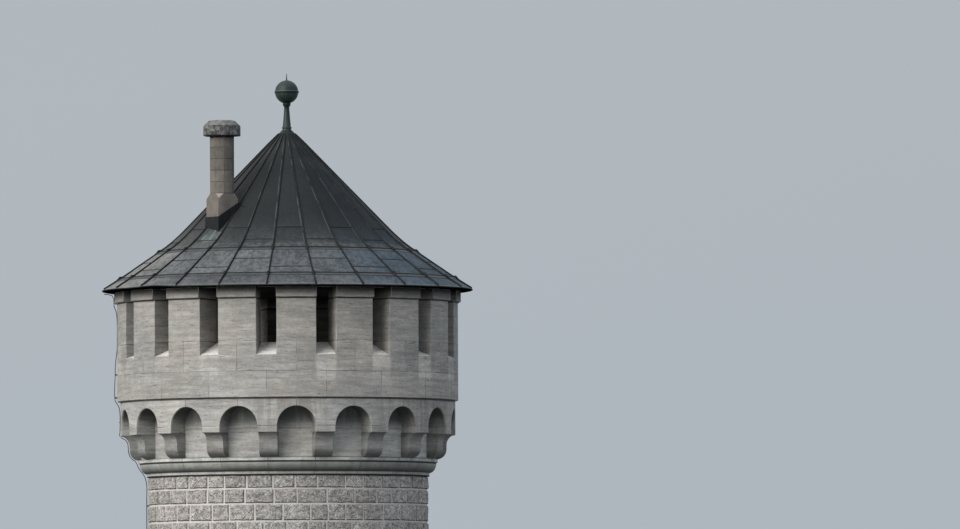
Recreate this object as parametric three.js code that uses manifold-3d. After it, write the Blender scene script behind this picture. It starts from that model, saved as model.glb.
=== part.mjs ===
// Round stone tower: a coursed shaft, a moulded cornice, blind arches on corbels, an embattled
// parapet, a bell-cast conical roof of ribbed sheet metal, a stone chimney, a ball finial and a
// lightning conductor. Millimetres, +Z up, origin on the ground at the centre of the tower.
// An angle around the tower is in degrees, 0 at the front (-Y) and 90 at the right (+X).

import * as THREE from 'three';
import { mergeVertices } from 'three/addons/utils/BufferGeometryUtils.js';
import { ConvexGeometry } from 'three/addons/geometries/ConvexGeometry.js';
import Module from 'manifold-3d';

// Rhythm around the tower
const BAYS = 18;
const BAY = 360 / BAYS;
const SECTORS = 6;
const SECTOR = 360 / SECTORS;
const BAYS_PER_SECTOR = BAYS / SECTORS;
const MASONRY_SIDES = 72;
const RIBS = 24;
const RIB_TURN = 0.8;
const ROOF_SIDES = 2 * RIBS;
const JOINT_GAP = 0.3;

// Shaft and the levels above the ground where each ring starts
const WALL_INNER_RADIUS = 2371;
const SHAFT_RADIUS = 3271;
const SHAFT_HEIGHT = 11000;
const CORNICE_HEIGHT = 410;
const DRUM_HEIGHT = 1370;
const CORNICE_LEVEL = SHAFT_HEIGHT;
const DRUM_LEVEL = CORNICE_LEVEL + CORNICE_HEIGHT;
const PARAPET_LEVEL = DRUM_LEVEL + DRUM_HEIGHT;

// Cornice: a lower fillet, a convex quarter and an upper fillet
const CORNICE_FOOT_RADIUS = 3314;
const CORNICE_FOOT_HEIGHT = 85;
const OVOLO_INNER_RADIUS = 3320;
const OVOLO_OUTER_RADIUS = 3478;
const OVOLO_TOP = 325;
const OVOLO_STEPS = 4;
const CORNICE_TOP_RADIUS = 3509;

// Drum wall behind the arches, and the corbels on it
const DRUM_RADIUS = 3455;
const CORBEL_WIDTH = 430;
const CORBEL_TOP = 562;
const CORBEL_REACH = 3920;
const CORBEL_NECK = 3713;
const CORBEL_FOOT = 3506;
const CORBEL_HOLLOW_FOOT = 321;
const CORBEL_ROUND_TOP = 240;
const CORBEL_STEPS = 4;

// Ring of blind arches on the corbels
const ARCH_RING_RADIUS = 3929;
const ARCH_RADIUS = 458;
const ARCH_SPRINGING = 708;
const ARCH_STEPS = 10;

// Parapet with merlons and sloping crenels, heights above the parapet's foot
const PARAPET_INNER_RADIUS = 3180;
const PARAPET_RADIUS = 4000;
const CRENEL_WIDTH = 471;
const SILL_OUTER_HEIGHT = 977;
const SILL_INNER_HEIGHT = 1290;
const MERLON_HEIGHT = 2310;
const CAP_HEIGHT = 242;
const CAP_RADIUS = 4070;
const FLOOR_THICKNESS = 200;

// Roof, heights above the top of the merlon caps
const ROOF_LEVEL = PARAPET_LEVEL + MERLON_HEIGHT + CAP_HEIGHT;
const EAVE_RADIUS = 4357;
const EAVE_TIP_HEIGHT = 34;
const EAVE_EDGE = 22;
const LOWER_SEAM_RADIUS = 3925;
const LOWER_SEAM_HEIGHT = 323;
const UPPER_SEAM_RADIUS = 3008;
const UPPER_SEAM_HEIGHT = 951;
const SWEEP_RADIUS = 2690;
const SWEEP_HEIGHT = 1188;
const CONE_FOOT_RADIUS = 2505;
const CONE_FOOT_HEIGHT = 1366;
const CONE_TOP_RADIUS = 115;
const CONE_TOP_HEIGHT = 3823;
const ROOF_DEPTH = 96;
const ROOF_PEAK_INSIDE = 3702;
const WALL_PLATE_INNER_RADIUS = 3700;
const RIB_WIDTH = 50;
const RIB_RISE = 48;
const RIB_ROOT = 20;
const RIB_TOP_RADIUS = 330;

// Finial, heights above the foot of its stem
const FINIAL_LEVEL = ROOF_LEVEL + CONE_TOP_HEIGHT;
const FINIAL_SIDES = 16;
const STEM_FOOT_RADIUS = 112;
const STEM_RADIUS = 98;
const STEM_TOP_RADIUS = 59;
const STEM_TOP = 540;
const COLLAR_RADIUS = 120;
const COLLAR_LOW = 42;
const COLLAR_HIGH = 74;
const NECK_RADIUS = 92;
const NECK_FLARE = 590;
const BALL_RADIUS = 274;
const BALL_CENTRE = 903;
const BALL_STEPS = 5;
const BAND_RADIUS = 290;
const BAND_HALF_HEIGHT = 34;
const SPIKE_RADIUS = 20;
const SPIKE_TIP_RADIUS = 6;
const SPIKE_LENGTH = 157;

// Chimney: a square stack that breaks through the roof and turns octagonal
const CHIMNEY_RADIUS = 2164;
const CHIMNEY_BEARING = -37.3;
const CHIMNEY_TURN = -50.3;
const CHIMNEY_BASE_SIDE = 538;
const CHIMNEY_FLATS = 531;
const CHIMNEY_BASE_LOW = 1706;
const BROACH_LOW = 2128;
const BROACH_HIGH = 2263;
const CAP_LOW = 3603;
const CAP_BEVEL = 3838;
const CAP_TOP = 3967;
const CAP_FLATS = 818;
const CAP_TOP_FLATS = 565;
const FLUE_RADIUS = 120;
const FLUE_SIDES = 16;
const FLASHING_THICKNESS = 20;
const FLASHING_FRONT_TOP = 1706;
const FLASHING_BACK_TOP = 2066;
const FLASHING_LOW = 1000;

// Lightning conductor
const WIRE_RADIUS = 9;
const WIRE_SIDES = 6;
const WIRE_STEPS = 56;
const WIRE_OFF = 18;
const WIRE_STANDOFF = 50;
const WIRE_BEND = 40;
const WIRE_SWERVE = 0.6;
const CLIP_SIZE = 34;
const SHAFT_CLIP_SHARES = [0.05, 0.2, 0.4, 0.6, 0.8, 0.94];
const MERLON_WIRE_ANGLE = -86.5;
const PIER_WIRE_ANGLE = -82.5;

const SMOOTH_STONE = { color: 0xa8a39b, roughness: 0.9, metalness: 0 };
const ROUGH_STONE = { color: 0xa59b92, roughness: 0.95, metalness: 0 };
const CHIMNEY_STONE = { color: 0x8c8578, roughness: 0.92, metalness: 0 };
const ROOF_METAL = { color: 0x5c666b, roughness: 0.6, metalness: 0.5 };
const FINIAL_METAL = { color: 0x3d4c49, roughness: 0.5, metalness: 0.7 };
const TIMBER = { color: 0x5a4a3a, roughness: 0.85, metalness: 0 };
const WIRE_METAL = { color: 0x33383a, roughness: 0.55, metalness: 0.6 };

const wasm = await Module();
wasm.setup();

function radians(degrees) {
    return THREE.MathUtils.degToRad(degrees);
}

// Unit vector on the ground at an angle around the tower
function bearing(angle) {
    return new THREE.Vector2(Math.sin(radians(angle)), -Math.cos(radians(angle)));
}

function toSolid(geometry) {
    const plain = geometry.index ? geometry.toNonIndexed() : geometry.clone();
    plain.deleteAttribute('normal');
    plain.deleteAttribute('uv');
    const merged = mergeVertices(plain, 1e-3);
    const corners = merged.index.array;
    const kept = [];
    for (let i = 0; i < corners.length; i += 3) {
        const [a, b, c] = [corners[i], corners[i + 1], corners[i + 2]];
        if (a !== b && b !== c && c !== a) {
            kept.push(a, b, c);
        }
    }
    return new wasm.Manifold(new wasm.Mesh({
        numProp: 3,
        vertProperties: new Float32Array(merged.attributes.position.array),
        triVerts: new Uint32Array(kept),
    }));
}

function toGeometry(solid) {
    const mesh = solid.getMesh();
    const geometry = new THREE.BufferGeometry();
    geometry.setAttribute('position', new THREE.BufferAttribute(mesh.vertProperties, 3));
    geometry.setIndex(new THREE.BufferAttribute(mesh.triVerts, 1));
    geometry.computeVertexNormals();
    return geometry;
}

function makeMesh(name, solid, finish) {
    const mesh = new THREE.Mesh(toGeometry(solid), new THREE.MeshStandardMaterial(finish));
    mesh.name = name;
    return mesh;
}

// Body of revolution from [radius, height] points, listed upwards on the outside, closed on itself,
// whose corners start at an angle around the tower
function turned(points, sides, turn = 0) {
    const profile = points.map(([radius, height]) => new THREE.Vector2(radius, height));
    const closes = points.at(-1)[0] === 0 && points[0][0] === 0;
    if (!closes) {
        profile.push(profile[0].clone());
    }
    return toSolid(new THREE.LatheGeometry(profile, sides).rotateX(Math.PI / 2).rotateZ(radians(turn)));
}

// Upright prism over an outline on the ground
function upright(outline, low, high) {
    const shape = new THREE.Shape(outline);
    const geometry = new THREE.ExtrudeGeometry(shape, { depth: high - low, bevelEnabled: false });
    return geometry.translate(0, 0, low);
}

// Slab standing in a radial plane: [radius, height] points, and a width across the plane
function radialSlab(points, width, angle) {
    const shape = new THREE.Shape(points.map(([radius, height]) => new THREE.Vector2(radius, height)));
    const geometry = new THREE.ExtrudeGeometry(shape, { depth: width, bevelEnabled: false });
    geometry.translate(0, 0, -width / 2).rotateX(Math.PI / 2).rotateZ(radians(angle - 90));
    return toSolid(geometry);
}

// Part of a ring between two angles, with half a joint taken off each end
function sectorOf(ring, first, last) {
    const middle = (first + last) / 2;
    const reach = 2 * EAVE_RADIUS;
    const tall = 2 * SHAFT_HEIGHT;
    const set = bearing(middle).multiplyScalar(JOINT_GAP / 2 / Math.sin(radians(last - first) / 2));
    const outline = [set];
    for (const angle of [first, middle, last]) {
        outline.push(bearing(angle).multiplyScalar(reach).add(set));
    }
    return ring.intersect(toSolid(upright(outline, -tall, tall)));
}

// Points of a quarter turn of an ellipse, from one angle to another
function arcPoints(centre, radii, from, to, steps) {
    const points = [];
    for (let step = 0; step <= steps; step += 1) {
        const angle = radians(from + (to - from) * step / steps);
        points.push([centre[0] + radii[0] * Math.cos(angle), centre[1] + radii[1] * Math.sin(angle)]);
    }
    return points;
}

// A ring of equal sectors, each a mesh of its own
function ringOfSectors(name, ring, first, level, finish) {
    const sector = sectorOf(ring, first, first + SECTOR);
    const set = new THREE.Group();
    set.position.z = level;
    for (let turn = 0; turn < SECTORS; turn += 1) {
        const mesh = makeMesh(`${name}_${turn + 1}`, sector, finish);
        mesh.rotation.z = radians(turn * SECTOR);
        set.add(mesh);
    }
    return set;
}

function bayAngles(first, count) {
    return Array.from({ length: count }, (_, bay) => first + bay * BAY);
}

function plainRing(inner, outer, low, high) {
    return turned([[inner, low], [outer, low], [outer, high], [inner, high]], MASONRY_SIDES);
}

function makeShaft() {
    const ring = plainRing(WALL_INNER_RADIUS, SHAFT_RADIUS, 0, SHAFT_HEIGHT);
    return ringOfSectors('shaft_wall', ring, BAY / 2, 0, ROUGH_STONE);
}

function makeCornice() {
    const ovolo = arcPoints(
        [OVOLO_INNER_RADIUS, OVOLO_TOP],
        [OVOLO_OUTER_RADIUS - OVOLO_INNER_RADIUS, OVOLO_TOP - CORNICE_FOOT_HEIGHT],
        -90, 0, OVOLO_STEPS);
    const ring = turned([
        [WALL_INNER_RADIUS, 0],
        [CORNICE_FOOT_RADIUS, 0],
        [CORNICE_FOOT_RADIUS, CORNICE_FOOT_HEIGHT],
        ...ovolo,
        [CORNICE_TOP_RADIUS, OVOLO_TOP],
        [CORNICE_TOP_RADIUS, CORNICE_HEIGHT],
        [WALL_INNER_RADIUS, CORNICE_HEIGHT],
    ], MASONRY_SIDES);
    return ringOfSectors('cornice', ring, 0, CORNICE_LEVEL, SMOOTH_STONE);
}

// Side outline of a corbel: a convex quarter below, a short neck and a hollow quarter above
function corbelOutline() {
    const rooted = DRUM_RADIUS - CORBEL_WIDTH / 2;
    const round = arcPoints(
        [CORBEL_FOOT, CORBEL_ROUND_TOP],
        [CORBEL_NECK - CORBEL_FOOT, CORBEL_ROUND_TOP],
        -90, 0, CORBEL_STEPS);
    const hollow = arcPoints(
        [CORBEL_REACH, CORBEL_HOLLOW_FOOT],
        [CORBEL_REACH - CORBEL_NECK, CORBEL_TOP - CORBEL_HOLLOW_FOOT],
        180, 90, CORBEL_STEPS);
    return [[rooted, 0], ...round, ...hollow, [rooted, CORBEL_TOP]];
}

function makeCorbelWall() {
    let ring = plainRing(WALL_INNER_RADIUS, DRUM_RADIUS, 0, DRUM_HEIGHT);
    for (const angle of bayAngles(BAY, BAYS_PER_SECTOR)) {
        ring = ring.add(radialSlab(corbelOutline(), CORBEL_WIDTH, angle));
    }
    return ringOfSectors('corbel_wall', ring, BAY / 2, DRUM_LEVEL, SMOOTH_STONE);
}

// Arch-shaped cutter whose jambs run towards the tower's axis
function archOpening(angle) {
    const near = DRUM_RADIUS - ARCH_RADIUS;
    const far = ARCH_RING_RADIUS + ARCH_RADIUS;
    const head = arcPoints([0, ARCH_SPRINGING], [ARCH_RADIUS, ARCH_RADIUS], 0, 180, ARCH_STEPS);
    const outline = [[-ARCH_RADIUS, 0], [ARCH_RADIUS, 0], ...head];
    const shape = new THREE.Shape(outline.map(([across, height]) => new THREE.Vector2(across, height)));
    const geometry = new THREE.ExtrudeGeometry(shape, { depth: far - near, bevelEnabled: false });
    geometry.translate(0, 0, near);
    const position = geometry.attributes.position;
    for (let i = 0; i < position.count; i += 1) {
        position.setX(i, position.getX(i) * position.getZ(i) / ARCH_RING_RADIUS);
    }
    return toSolid(geometry.rotateX(Math.PI / 2).rotateZ(radians(angle)));
}

function makeArchRing() {
    let ring = plainRing(DRUM_RADIUS + JOINT_GAP, ARCH_RING_RADIUS, CORBEL_TOP, DRUM_HEIGHT);
    for (const angle of bayAngles(BAY / 2, BAYS_PER_SECTOR + 1)) {
        ring = ring.subtract(archOpening(angle));
    }
    return ringOfSectors('arch_ring', ring, BAY / 2, DRUM_LEVEL, SMOOTH_STONE);
}

function makeParapet() {
    const top = MERLON_HEIGHT + CAP_HEIGHT;
    let ring = turned([
        [PARAPET_INNER_RADIUS, 0],
        [PARAPET_RADIUS, 0],
        [PARAPET_RADIUS, MERLON_HEIGHT],
        [CAP_RADIUS, MERLON_HEIGHT],
        [CAP_RADIUS, top],
        [PARAPET_INNER_RADIUS, top],
    ], MASONRY_SIDES);
    const fall = (SILL_INNER_HEIGHT - SILL_OUTER_HEIGHT) / (PARAPET_RADIUS - PARAPET_INNER_RADIUS);
    const past = 2 * (CAP_RADIUS - PARAPET_RADIUS);
    const crenel = [
        [PARAPET_INNER_RADIUS - past, SILL_INNER_HEIGHT + fall * past],
        [PARAPET_RADIUS + past, SILL_OUTER_HEIGHT - fall * past],
        [PARAPET_RADIUS + past, top + past],
        [PARAPET_INNER_RADIUS - past, top + past],
    ];
    for (const angle of bayAngles(0, BAYS_PER_SECTOR + 1)) {
        ring = ring.subtract(radialSlab(crenel, CRENEL_WIDTH, angle));
    }
    return ringOfSectors('parapet', ring, 0, PARAPET_LEVEL, SMOOTH_STONE);
}

function makeGalleryFloor() {
    const radius = PARAPET_INNER_RADIUS - JOINT_GAP;
    const outline = [[0, 0], [radius, 0], [radius, FLOOR_THICKNESS], [0, FLOOR_THICKNESS]];
    const disc = turned(outline, MASONRY_SIDES);
    const mesh = makeMesh('gallery_floor', disc, TIMBER);
    mesh.position.z = PARAPET_LEVEL;
    return mesh;
}

// Turns a geometry to face as the chimney does, and sets it at the chimney's place
function atChimney(geometry) {
    const place = bearing(CHIMNEY_BEARING).multiplyScalar(CHIMNEY_RADIUS);
    return geometry.rotateZ(radians(CHIMNEY_TURN)).translate(place.x, place.y, 0);
}

function squareOutline(side) {
    const half = side / 2;
    const corners = [[-half, -half], [half, -half], [half, half], [-half, half]];
    return corners.map(([x, y]) => new THREE.Vector2(x, y));
}

function polygonOutline(flats, sides) {
    const radius = flats / 2 / Math.cos(Math.PI / sides);
    return Array.from({ length: sides }, (_, corner) => {
        const angle = (corner + 0.5) * 2 * Math.PI / sides;
        return new THREE.Vector2(radius * Math.cos(angle), radius * Math.sin(angle));
    });
}

function chimneyPrism(side, low, high) {
    return toSolid(atChimney(upright(squareOutline(side), low, high)));
}

// Ribs that follow a stretch of the roof's surface from its low end to its high end
function ribsOver(surface) {
    const setback = RIB_WIDTH / 2 * Math.tan(Math.PI / ROOF_SIDES) + JOINT_GAP;
    const line = surface.map(([radius, height], index) => [index === 0 ? radius - setback : radius, height]);
    const above = line.map(([radius, height]) => [radius, height + RIB_RISE]);
    const below = line.map(([radius, height]) => [radius, height - RIB_ROOT]);
    const outline = [...below, ...above.reverse()];
    let ribs = radialSlab(outline, RIB_WIDTH, RIB_TURN);
    for (let rib = 1; rib < RIBS; rib += 1) {
        ribs = ribs.add(radialSlab(outline, RIB_WIDTH, RIB_TURN + rib * 360 / RIBS));
    }
    const apron = CHIMNEY_BASE_SIDE + 2 * (FLASHING_THICKNESS + JOINT_GAP);
    return ribs.subtract(chimneyPrism(apron, 0, CAP_TOP));
}

// Outer surface of the upper cone, from the upper seam to the flat top
function coneSurface(lift) {
    return [
        [UPPER_SEAM_RADIUS - JOINT_GAP, UPPER_SEAM_HEIGHT + lift],
        [SWEEP_RADIUS, SWEEP_HEIGHT + lift],
        [CONE_FOOT_RADIUS, CONE_FOOT_HEIGHT + lift],
        [CONE_TOP_RADIUS, CONE_TOP_HEIGHT + lift],
    ];
}

function makeRoofEave() {
    const ring = turned([
        [LOWER_SEAM_RADIUS, 0],
        [CAP_RADIUS, 0],
        [EAVE_RADIUS, EAVE_TIP_HEIGHT],
        [EAVE_RADIUS, EAVE_TIP_HEIGHT + EAVE_EDGE],
        [LOWER_SEAM_RADIUS, LOWER_SEAM_HEIGHT],
    ], ROOF_SIDES, RIB_TURN);
    const surface = [
        [EAVE_RADIUS, EAVE_TIP_HEIGHT + EAVE_EDGE],
        [LOWER_SEAM_RADIUS, LOWER_SEAM_HEIGHT],
    ];
    return makeMesh('roof_eave', ring.add(ribsOver(surface)), ROOF_METAL);
}

function makeRoofSkirt() {
    const outer = LOWER_SEAM_RADIUS - JOINT_GAP;
    const ring = turned([
        [UPPER_SEAM_RADIUS, UPPER_SEAM_HEIGHT - ROOF_DEPTH],
        [outer, LOWER_SEAM_HEIGHT - ROOF_DEPTH],
        [outer, LOWER_SEAM_HEIGHT],
        [UPPER_SEAM_RADIUS, UPPER_SEAM_HEIGHT],
    ], ROOF_SIDES, RIB_TURN);
    const surface = [[outer, LOWER_SEAM_HEIGHT], [UPPER_SEAM_RADIUS, UPPER_SEAM_HEIGHT]];
    return makeMesh('roof_skirt', ring.add(ribsOver(surface)), ROOF_METAL);
}

function makeRoofCone() {
    const outside = coneSurface(0);
    const inside = coneSurface(-ROOF_DEPTH).slice(0, -1).reverse();
    const shell = turned([[0, ROOF_PEAK_INSIDE], ...inside, ...outside, [0, CONE_TOP_HEIGHT]],
        ROOF_SIDES, RIB_TURN);
    const rise = (CONE_TOP_HEIGHT - CONE_FOOT_HEIGHT) / (CONE_FOOT_RADIUS - CONE_TOP_RADIUS);
    const ribTop = [RIB_TOP_RADIUS, CONE_TOP_HEIGHT - rise * (RIB_TOP_RADIUS - CONE_TOP_RADIUS)];
    const ribbed = shell.add(ribsOver([...outside.slice(0, -1), ribTop]));
    const hole = chimneyPrism(CHIMNEY_BASE_SIDE + 2 * JOINT_GAP, 0, CAP_TOP);
    return makeMesh('roof_cone', ribbed.subtract(hole), ROOF_METAL);
}

// Timber ring on the merlons, cut to the slope of the roof above it
function makeWallPlate() {
    const outer = LOWER_SEAM_RADIUS - JOINT_GAP;
    const slope = (UPPER_SEAM_HEIGHT - LOWER_SEAM_HEIGHT) / (LOWER_SEAM_RADIUS - UPPER_SEAM_RADIUS);
    const top = LOWER_SEAM_HEIGHT - ROOF_DEPTH - JOINT_GAP;
    const ring = turned([
        [WALL_PLATE_INNER_RADIUS, 0],
        [outer, 0],
        [outer, top],
        [WALL_PLATE_INNER_RADIUS, top + slope * (outer - WALL_PLATE_INNER_RADIUS)],
    ], ROOF_SIDES, RIB_TURN);
    return makeMesh('wall_plate', ring, TIMBER);
}

function makeRoof() {
    const roof = new THREE.Group();
    roof.position.z = ROOF_LEVEL;
    roof.add(makeWallPlate(), makeRoofEave(), makeRoofSkirt(), makeRoofCone(), makeFlashing());
    return roof;
}

// Sheet-metal collar round the stack, following the roof below and sloping at its top
function makeFlashing() {
    const half = CHIMNEY_BASE_SIDE / 2 + FLASHING_THICKNESS;
    const side = new THREE.Shape([
        new THREE.Vector2(-half, FLASHING_LOW),
        new THREE.Vector2(half, FLASHING_LOW),
        new THREE.Vector2(half, FLASHING_BACK_TOP),
        new THREE.Vector2(-half, FLASHING_FRONT_TOP),
    ]);
    const block = new THREE.ExtrudeGeometry(side, { depth: 2 * half, bevelEnabled: false });
    block.translate(0, 0, -half).rotateX(Math.PI / 2).rotateZ(Math.PI / 2);
    const stack = chimneyPrism(CHIMNEY_BASE_SIDE + 2 * JOINT_GAP, 0, CAP_TOP);
    const roofBody = turned([[0, 0], [UPPER_SEAM_RADIUS, 0], ...coneSurface(JOINT_GAP), [0, CONE_TOP_HEIGHT]],
        ROOF_SIDES, RIB_TURN);
    const collar = toSolid(atChimney(block)).subtract(stack).subtract(roofBody);
    return makeMesh('chimney_flashing', collar, ROOF_METAL);
}

function hullBetween(lowOutline, low, highOutline, high) {
    const points = [
        ...lowOutline.map((corner) => new THREE.Vector3(corner.x, corner.y, low)),
        ...highOutline.map((corner) => new THREE.Vector3(corner.x, corner.y, high)),
    ];
    return toSolid(new ConvexGeometry(points));
}

function makeChimney() {
    const place = bearing(CHIMNEY_BEARING).multiplyScalar(CHIMNEY_RADIUS);
    const chimney = new THREE.Group();
    chimney.position.set(place.x, place.y, ROOF_LEVEL);
    chimney.rotation.z = radians(CHIMNEY_TURN);
    const stackFoot = PARAPET_LEVEL + FLOOR_THICKNESS - ROOF_LEVEL;
    const square = squareOutline(CHIMNEY_BASE_SIDE);
    const octagon = polygonOutline(CHIMNEY_FLATS, 8);
    const rim = polygonOutline(CAP_FLATS, 8);
    const flueRing = polygonOutline(2 * FLUE_RADIUS, FLUE_SIDES);
    const flue = toSolid(upright(flueRing, stackFoot - FLUE_RADIUS, CAP_TOP + FLUE_RADIUS));
    const stack = toSolid(upright(square, stackFoot, CHIMNEY_BASE_LOW));
    const broached = hullBetween(square, BROACH_LOW, octagon, BROACH_HIGH);
    const base = toSolid(upright(square, CHIMNEY_BASE_LOW, BROACH_LOW)).add(broached);
    const shaft = toSolid(upright(octagon, BROACH_HIGH, CAP_LOW));
    const bevel = hullBetween(rim, CAP_BEVEL, polygonOutline(CAP_TOP_FLATS, 8), CAP_TOP);
    const cap = toSolid(upright(rim, CAP_LOW, CAP_BEVEL)).add(bevel);
    const courses = { chimney_stack: stack, chimney_base: base, chimney_shaft: shaft, chimney_cap: cap };
    for (const [name, solid] of Object.entries(courses)) {
        chimney.add(makeMesh(name, solid.subtract(flue), CHIMNEY_STONE));
    }
    return chimney;
}

function makeFinial() {
    const seat = BALL_CENTRE - Math.sqrt(BALL_RADIUS ** 2 - NECK_RADIUS ** 2);
    const crown = BALL_CENTRE + Math.sqrt(BALL_RADIUS ** 2 - SPIKE_RADIUS ** 2);
    const seatAngle = THREE.MathUtils.radToDeg(Math.asin((seat - BALL_CENTRE) / BALL_RADIUS));
    const bandAngle = THREE.MathUtils.radToDeg(Math.asin(BAND_HALF_HEIGHT / BALL_RADIUS));
    const crownAngle = THREE.MathUtils.radToDeg(Math.asin((crown - BALL_CENTRE) / BALL_RADIUS));
    const centre = [0, BALL_CENTRE];
    const radii = [BALL_RADIUS, BALL_RADIUS];
    const stem = turned([
        [0, 0],
        [STEM_FOOT_RADIUS, 0],
        [STEM_RADIUS, COLLAR_LOW],
        [COLLAR_RADIUS, COLLAR_LOW],
        [COLLAR_RADIUS, COLLAR_HIGH],
        [STEM_RADIUS, COLLAR_HIGH],
        [STEM_TOP_RADIUS, STEM_TOP],
        [NECK_RADIUS, NECK_FLARE],
        [NECK_RADIUS, seat],
        [0, seat],
    ], FINIAL_SIDES);
    const ball = turned([
        [0, seat],
        ...arcPoints(centre, radii, seatAngle, -bandAngle, BALL_STEPS),
        [BAND_RADIUS, BALL_CENTRE - BAND_HALF_HEIGHT],
        [BAND_RADIUS, BALL_CENTRE + BAND_HALF_HEIGHT],
        ...arcPoints(centre, radii, bandAngle, crownAngle, BALL_STEPS),
        [0, crown],
    ], FINIAL_SIDES);
    const spike = turned([
        [0, crown],
        [SPIKE_RADIUS, crown],
        [SPIKE_TIP_RADIUS, crown + SPIKE_LENGTH - SPIKE_TIP_RADIUS],
        [0, crown + SPIKE_LENGTH],
    ], FINIAL_SIDES / 2);
    const finial = new THREE.Group();
    finial.position.z = FINIAL_LEVEL;
    finial.add(makeMesh('finial_stem', stem, FINIAL_METAL));
    finial.add(makeMesh('finial_ball', ball, FINIAL_METAL));
    finial.add(makeMesh('finial_spike', spike, FINIAL_METAL));
    return finial;
}

// Route of the conductor from the eave to the shaft: [radius, height above the ground, angle].
// It hangs free for the first few bends, lies close on the merlon, stands off the parapet's lower
// part, follows the corbel and the cornice, and ends at the first clip of the straight run down.
function wireRoute() {
    const near = WIRE_OFF;
    const clear = 2 * WIRE_OFF;
    const bend = WIRE_BEND;
    const sill = PARAPET_LEVEL + SILL_OUTER_HEIGHT;
    const merlonTop = PARAPET_LEVEL + MERLON_HEIGHT;
    const corbelTop = DRUM_LEVEL + CORBEL_TOP;
    const ovoloMiddle = CORNICE_LEVEL + (CORNICE_FOOT_HEIGHT + OVOLO_TOP) / 2;
    const onMerlon = [
        [EAVE_RADIUS - bend, ROOF_LEVEL + EAVE_TIP_HEIGHT - bend],
        [EAVE_RADIUS - 3 * bend, ROOF_LEVEL - bend / 4],
        [CAP_RADIUS + 1.5 * bend, ROOF_LEVEL - bend],
        [CAP_RADIUS + near, ROOF_LEVEL - 3 * bend],
        [CAP_RADIUS + near, merlonTop - bend],
        [PARAPET_RADIUS + bend, merlonTop - 4 * bend],
        [PARAPET_RADIUS + near, merlonTop - 8 * bend],
        [PARAPET_RADIUS + near, sill + 6 * bend],
    ].map(([radius, height]) => [radius, height, MERLON_WIRE_ANGLE]);
    const acrossSill = [
        [PARAPET_RADIUS + clear, sill + 2 * bend, MERLON_WIRE_ANGLE + WIRE_SWERVE],
        [PARAPET_RADIUS + WIRE_STANDOFF, sill - 5 * bend, PIER_WIRE_ANGLE - WIRE_SWERVE],
    ];
    const hollow = arcPoints(
        [CORBEL_REACH, DRUM_LEVEL + CORBEL_HOLLOW_FOOT],
        [CORBEL_REACH - CORBEL_NECK - clear, CORBEL_TOP - CORBEL_HOLLOW_FOOT - clear],
        115, 165, 2);
    const round = arcPoints(
        [CORBEL_FOOT, DRUM_LEVEL + CORBEL_ROUND_TOP],
        [CORBEL_NECK - CORBEL_FOOT + clear, CORBEL_ROUND_TOP + clear],
        0, -75, 4);
    const overPier = [
        [PARAPET_RADIUS + WIRE_STANDOFF, sill - 8 * bend],
        [PARAPET_RADIUS + WIRE_STANDOFF, PARAPET_LEVEL + bend / 2],
        [ARCH_RING_RADIUS + WIRE_STANDOFF, PARAPET_LEVEL - 2 * bend],
        [ARCH_RING_RADIUS + near, PARAPET_LEVEL - 5 * bend],
        [ARCH_RING_RADIUS + near, corbelTop + bend],
        [CORBEL_REACH + clear, corbelTop - bend / 4],
        ...hollow,
        ...round,
        [CORNICE_TOP_RADIUS + clear, DRUM_LEVEL - bend],
        [CORNICE_TOP_RADIUS + clear, CORNICE_LEVEL + OVOLO_TOP - bend / 2],
        [OVOLO_OUTER_RADIUS + near, ovoloMiddle],
        [CORNICE_FOOT_RADIUS + 1.5 * bend, CORNICE_LEVEL + bend],
        [SHAFT_RADIUS + WIRE_STANDOFF, SHAFT_HEIGHT - 4 * bend],
        [SHAFT_RADIUS + WIRE_STANDOFF, SHAFT_HEIGHT - 12 * bend],
    ].map(([radius, height]) => [radius, height, PIER_WIRE_ANGLE]);
    return [...onMerlon, ...acrossSill, ...overPier];
}

// Distance from the axis to the flat side of a masonry ring, at an angle
function facetRadius(radius, angle) {
    const side = 360 / MASONRY_SIDES;
    const fromMiddle = THREE.MathUtils.euclideanModulo(angle, side) - side / 2;
    return radius * Math.cos(radians(side / 2)) / Math.cos(radians(fromMiddle));
}

function wirePoint([radius, height, angle]) {
    const out = bearing(angle).multiplyScalar(radius);
    return new THREE.Vector3(out.x, out.y, height);
}

function wireAlong(curve, steps) {
    const ring = polygonOutline(2 * WIRE_RADIUS, WIRE_SIDES);
    return toSolid(new THREE.ExtrudeGeometry(new THREE.Shape(ring), { steps, extrudePath: curve }));
}

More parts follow.
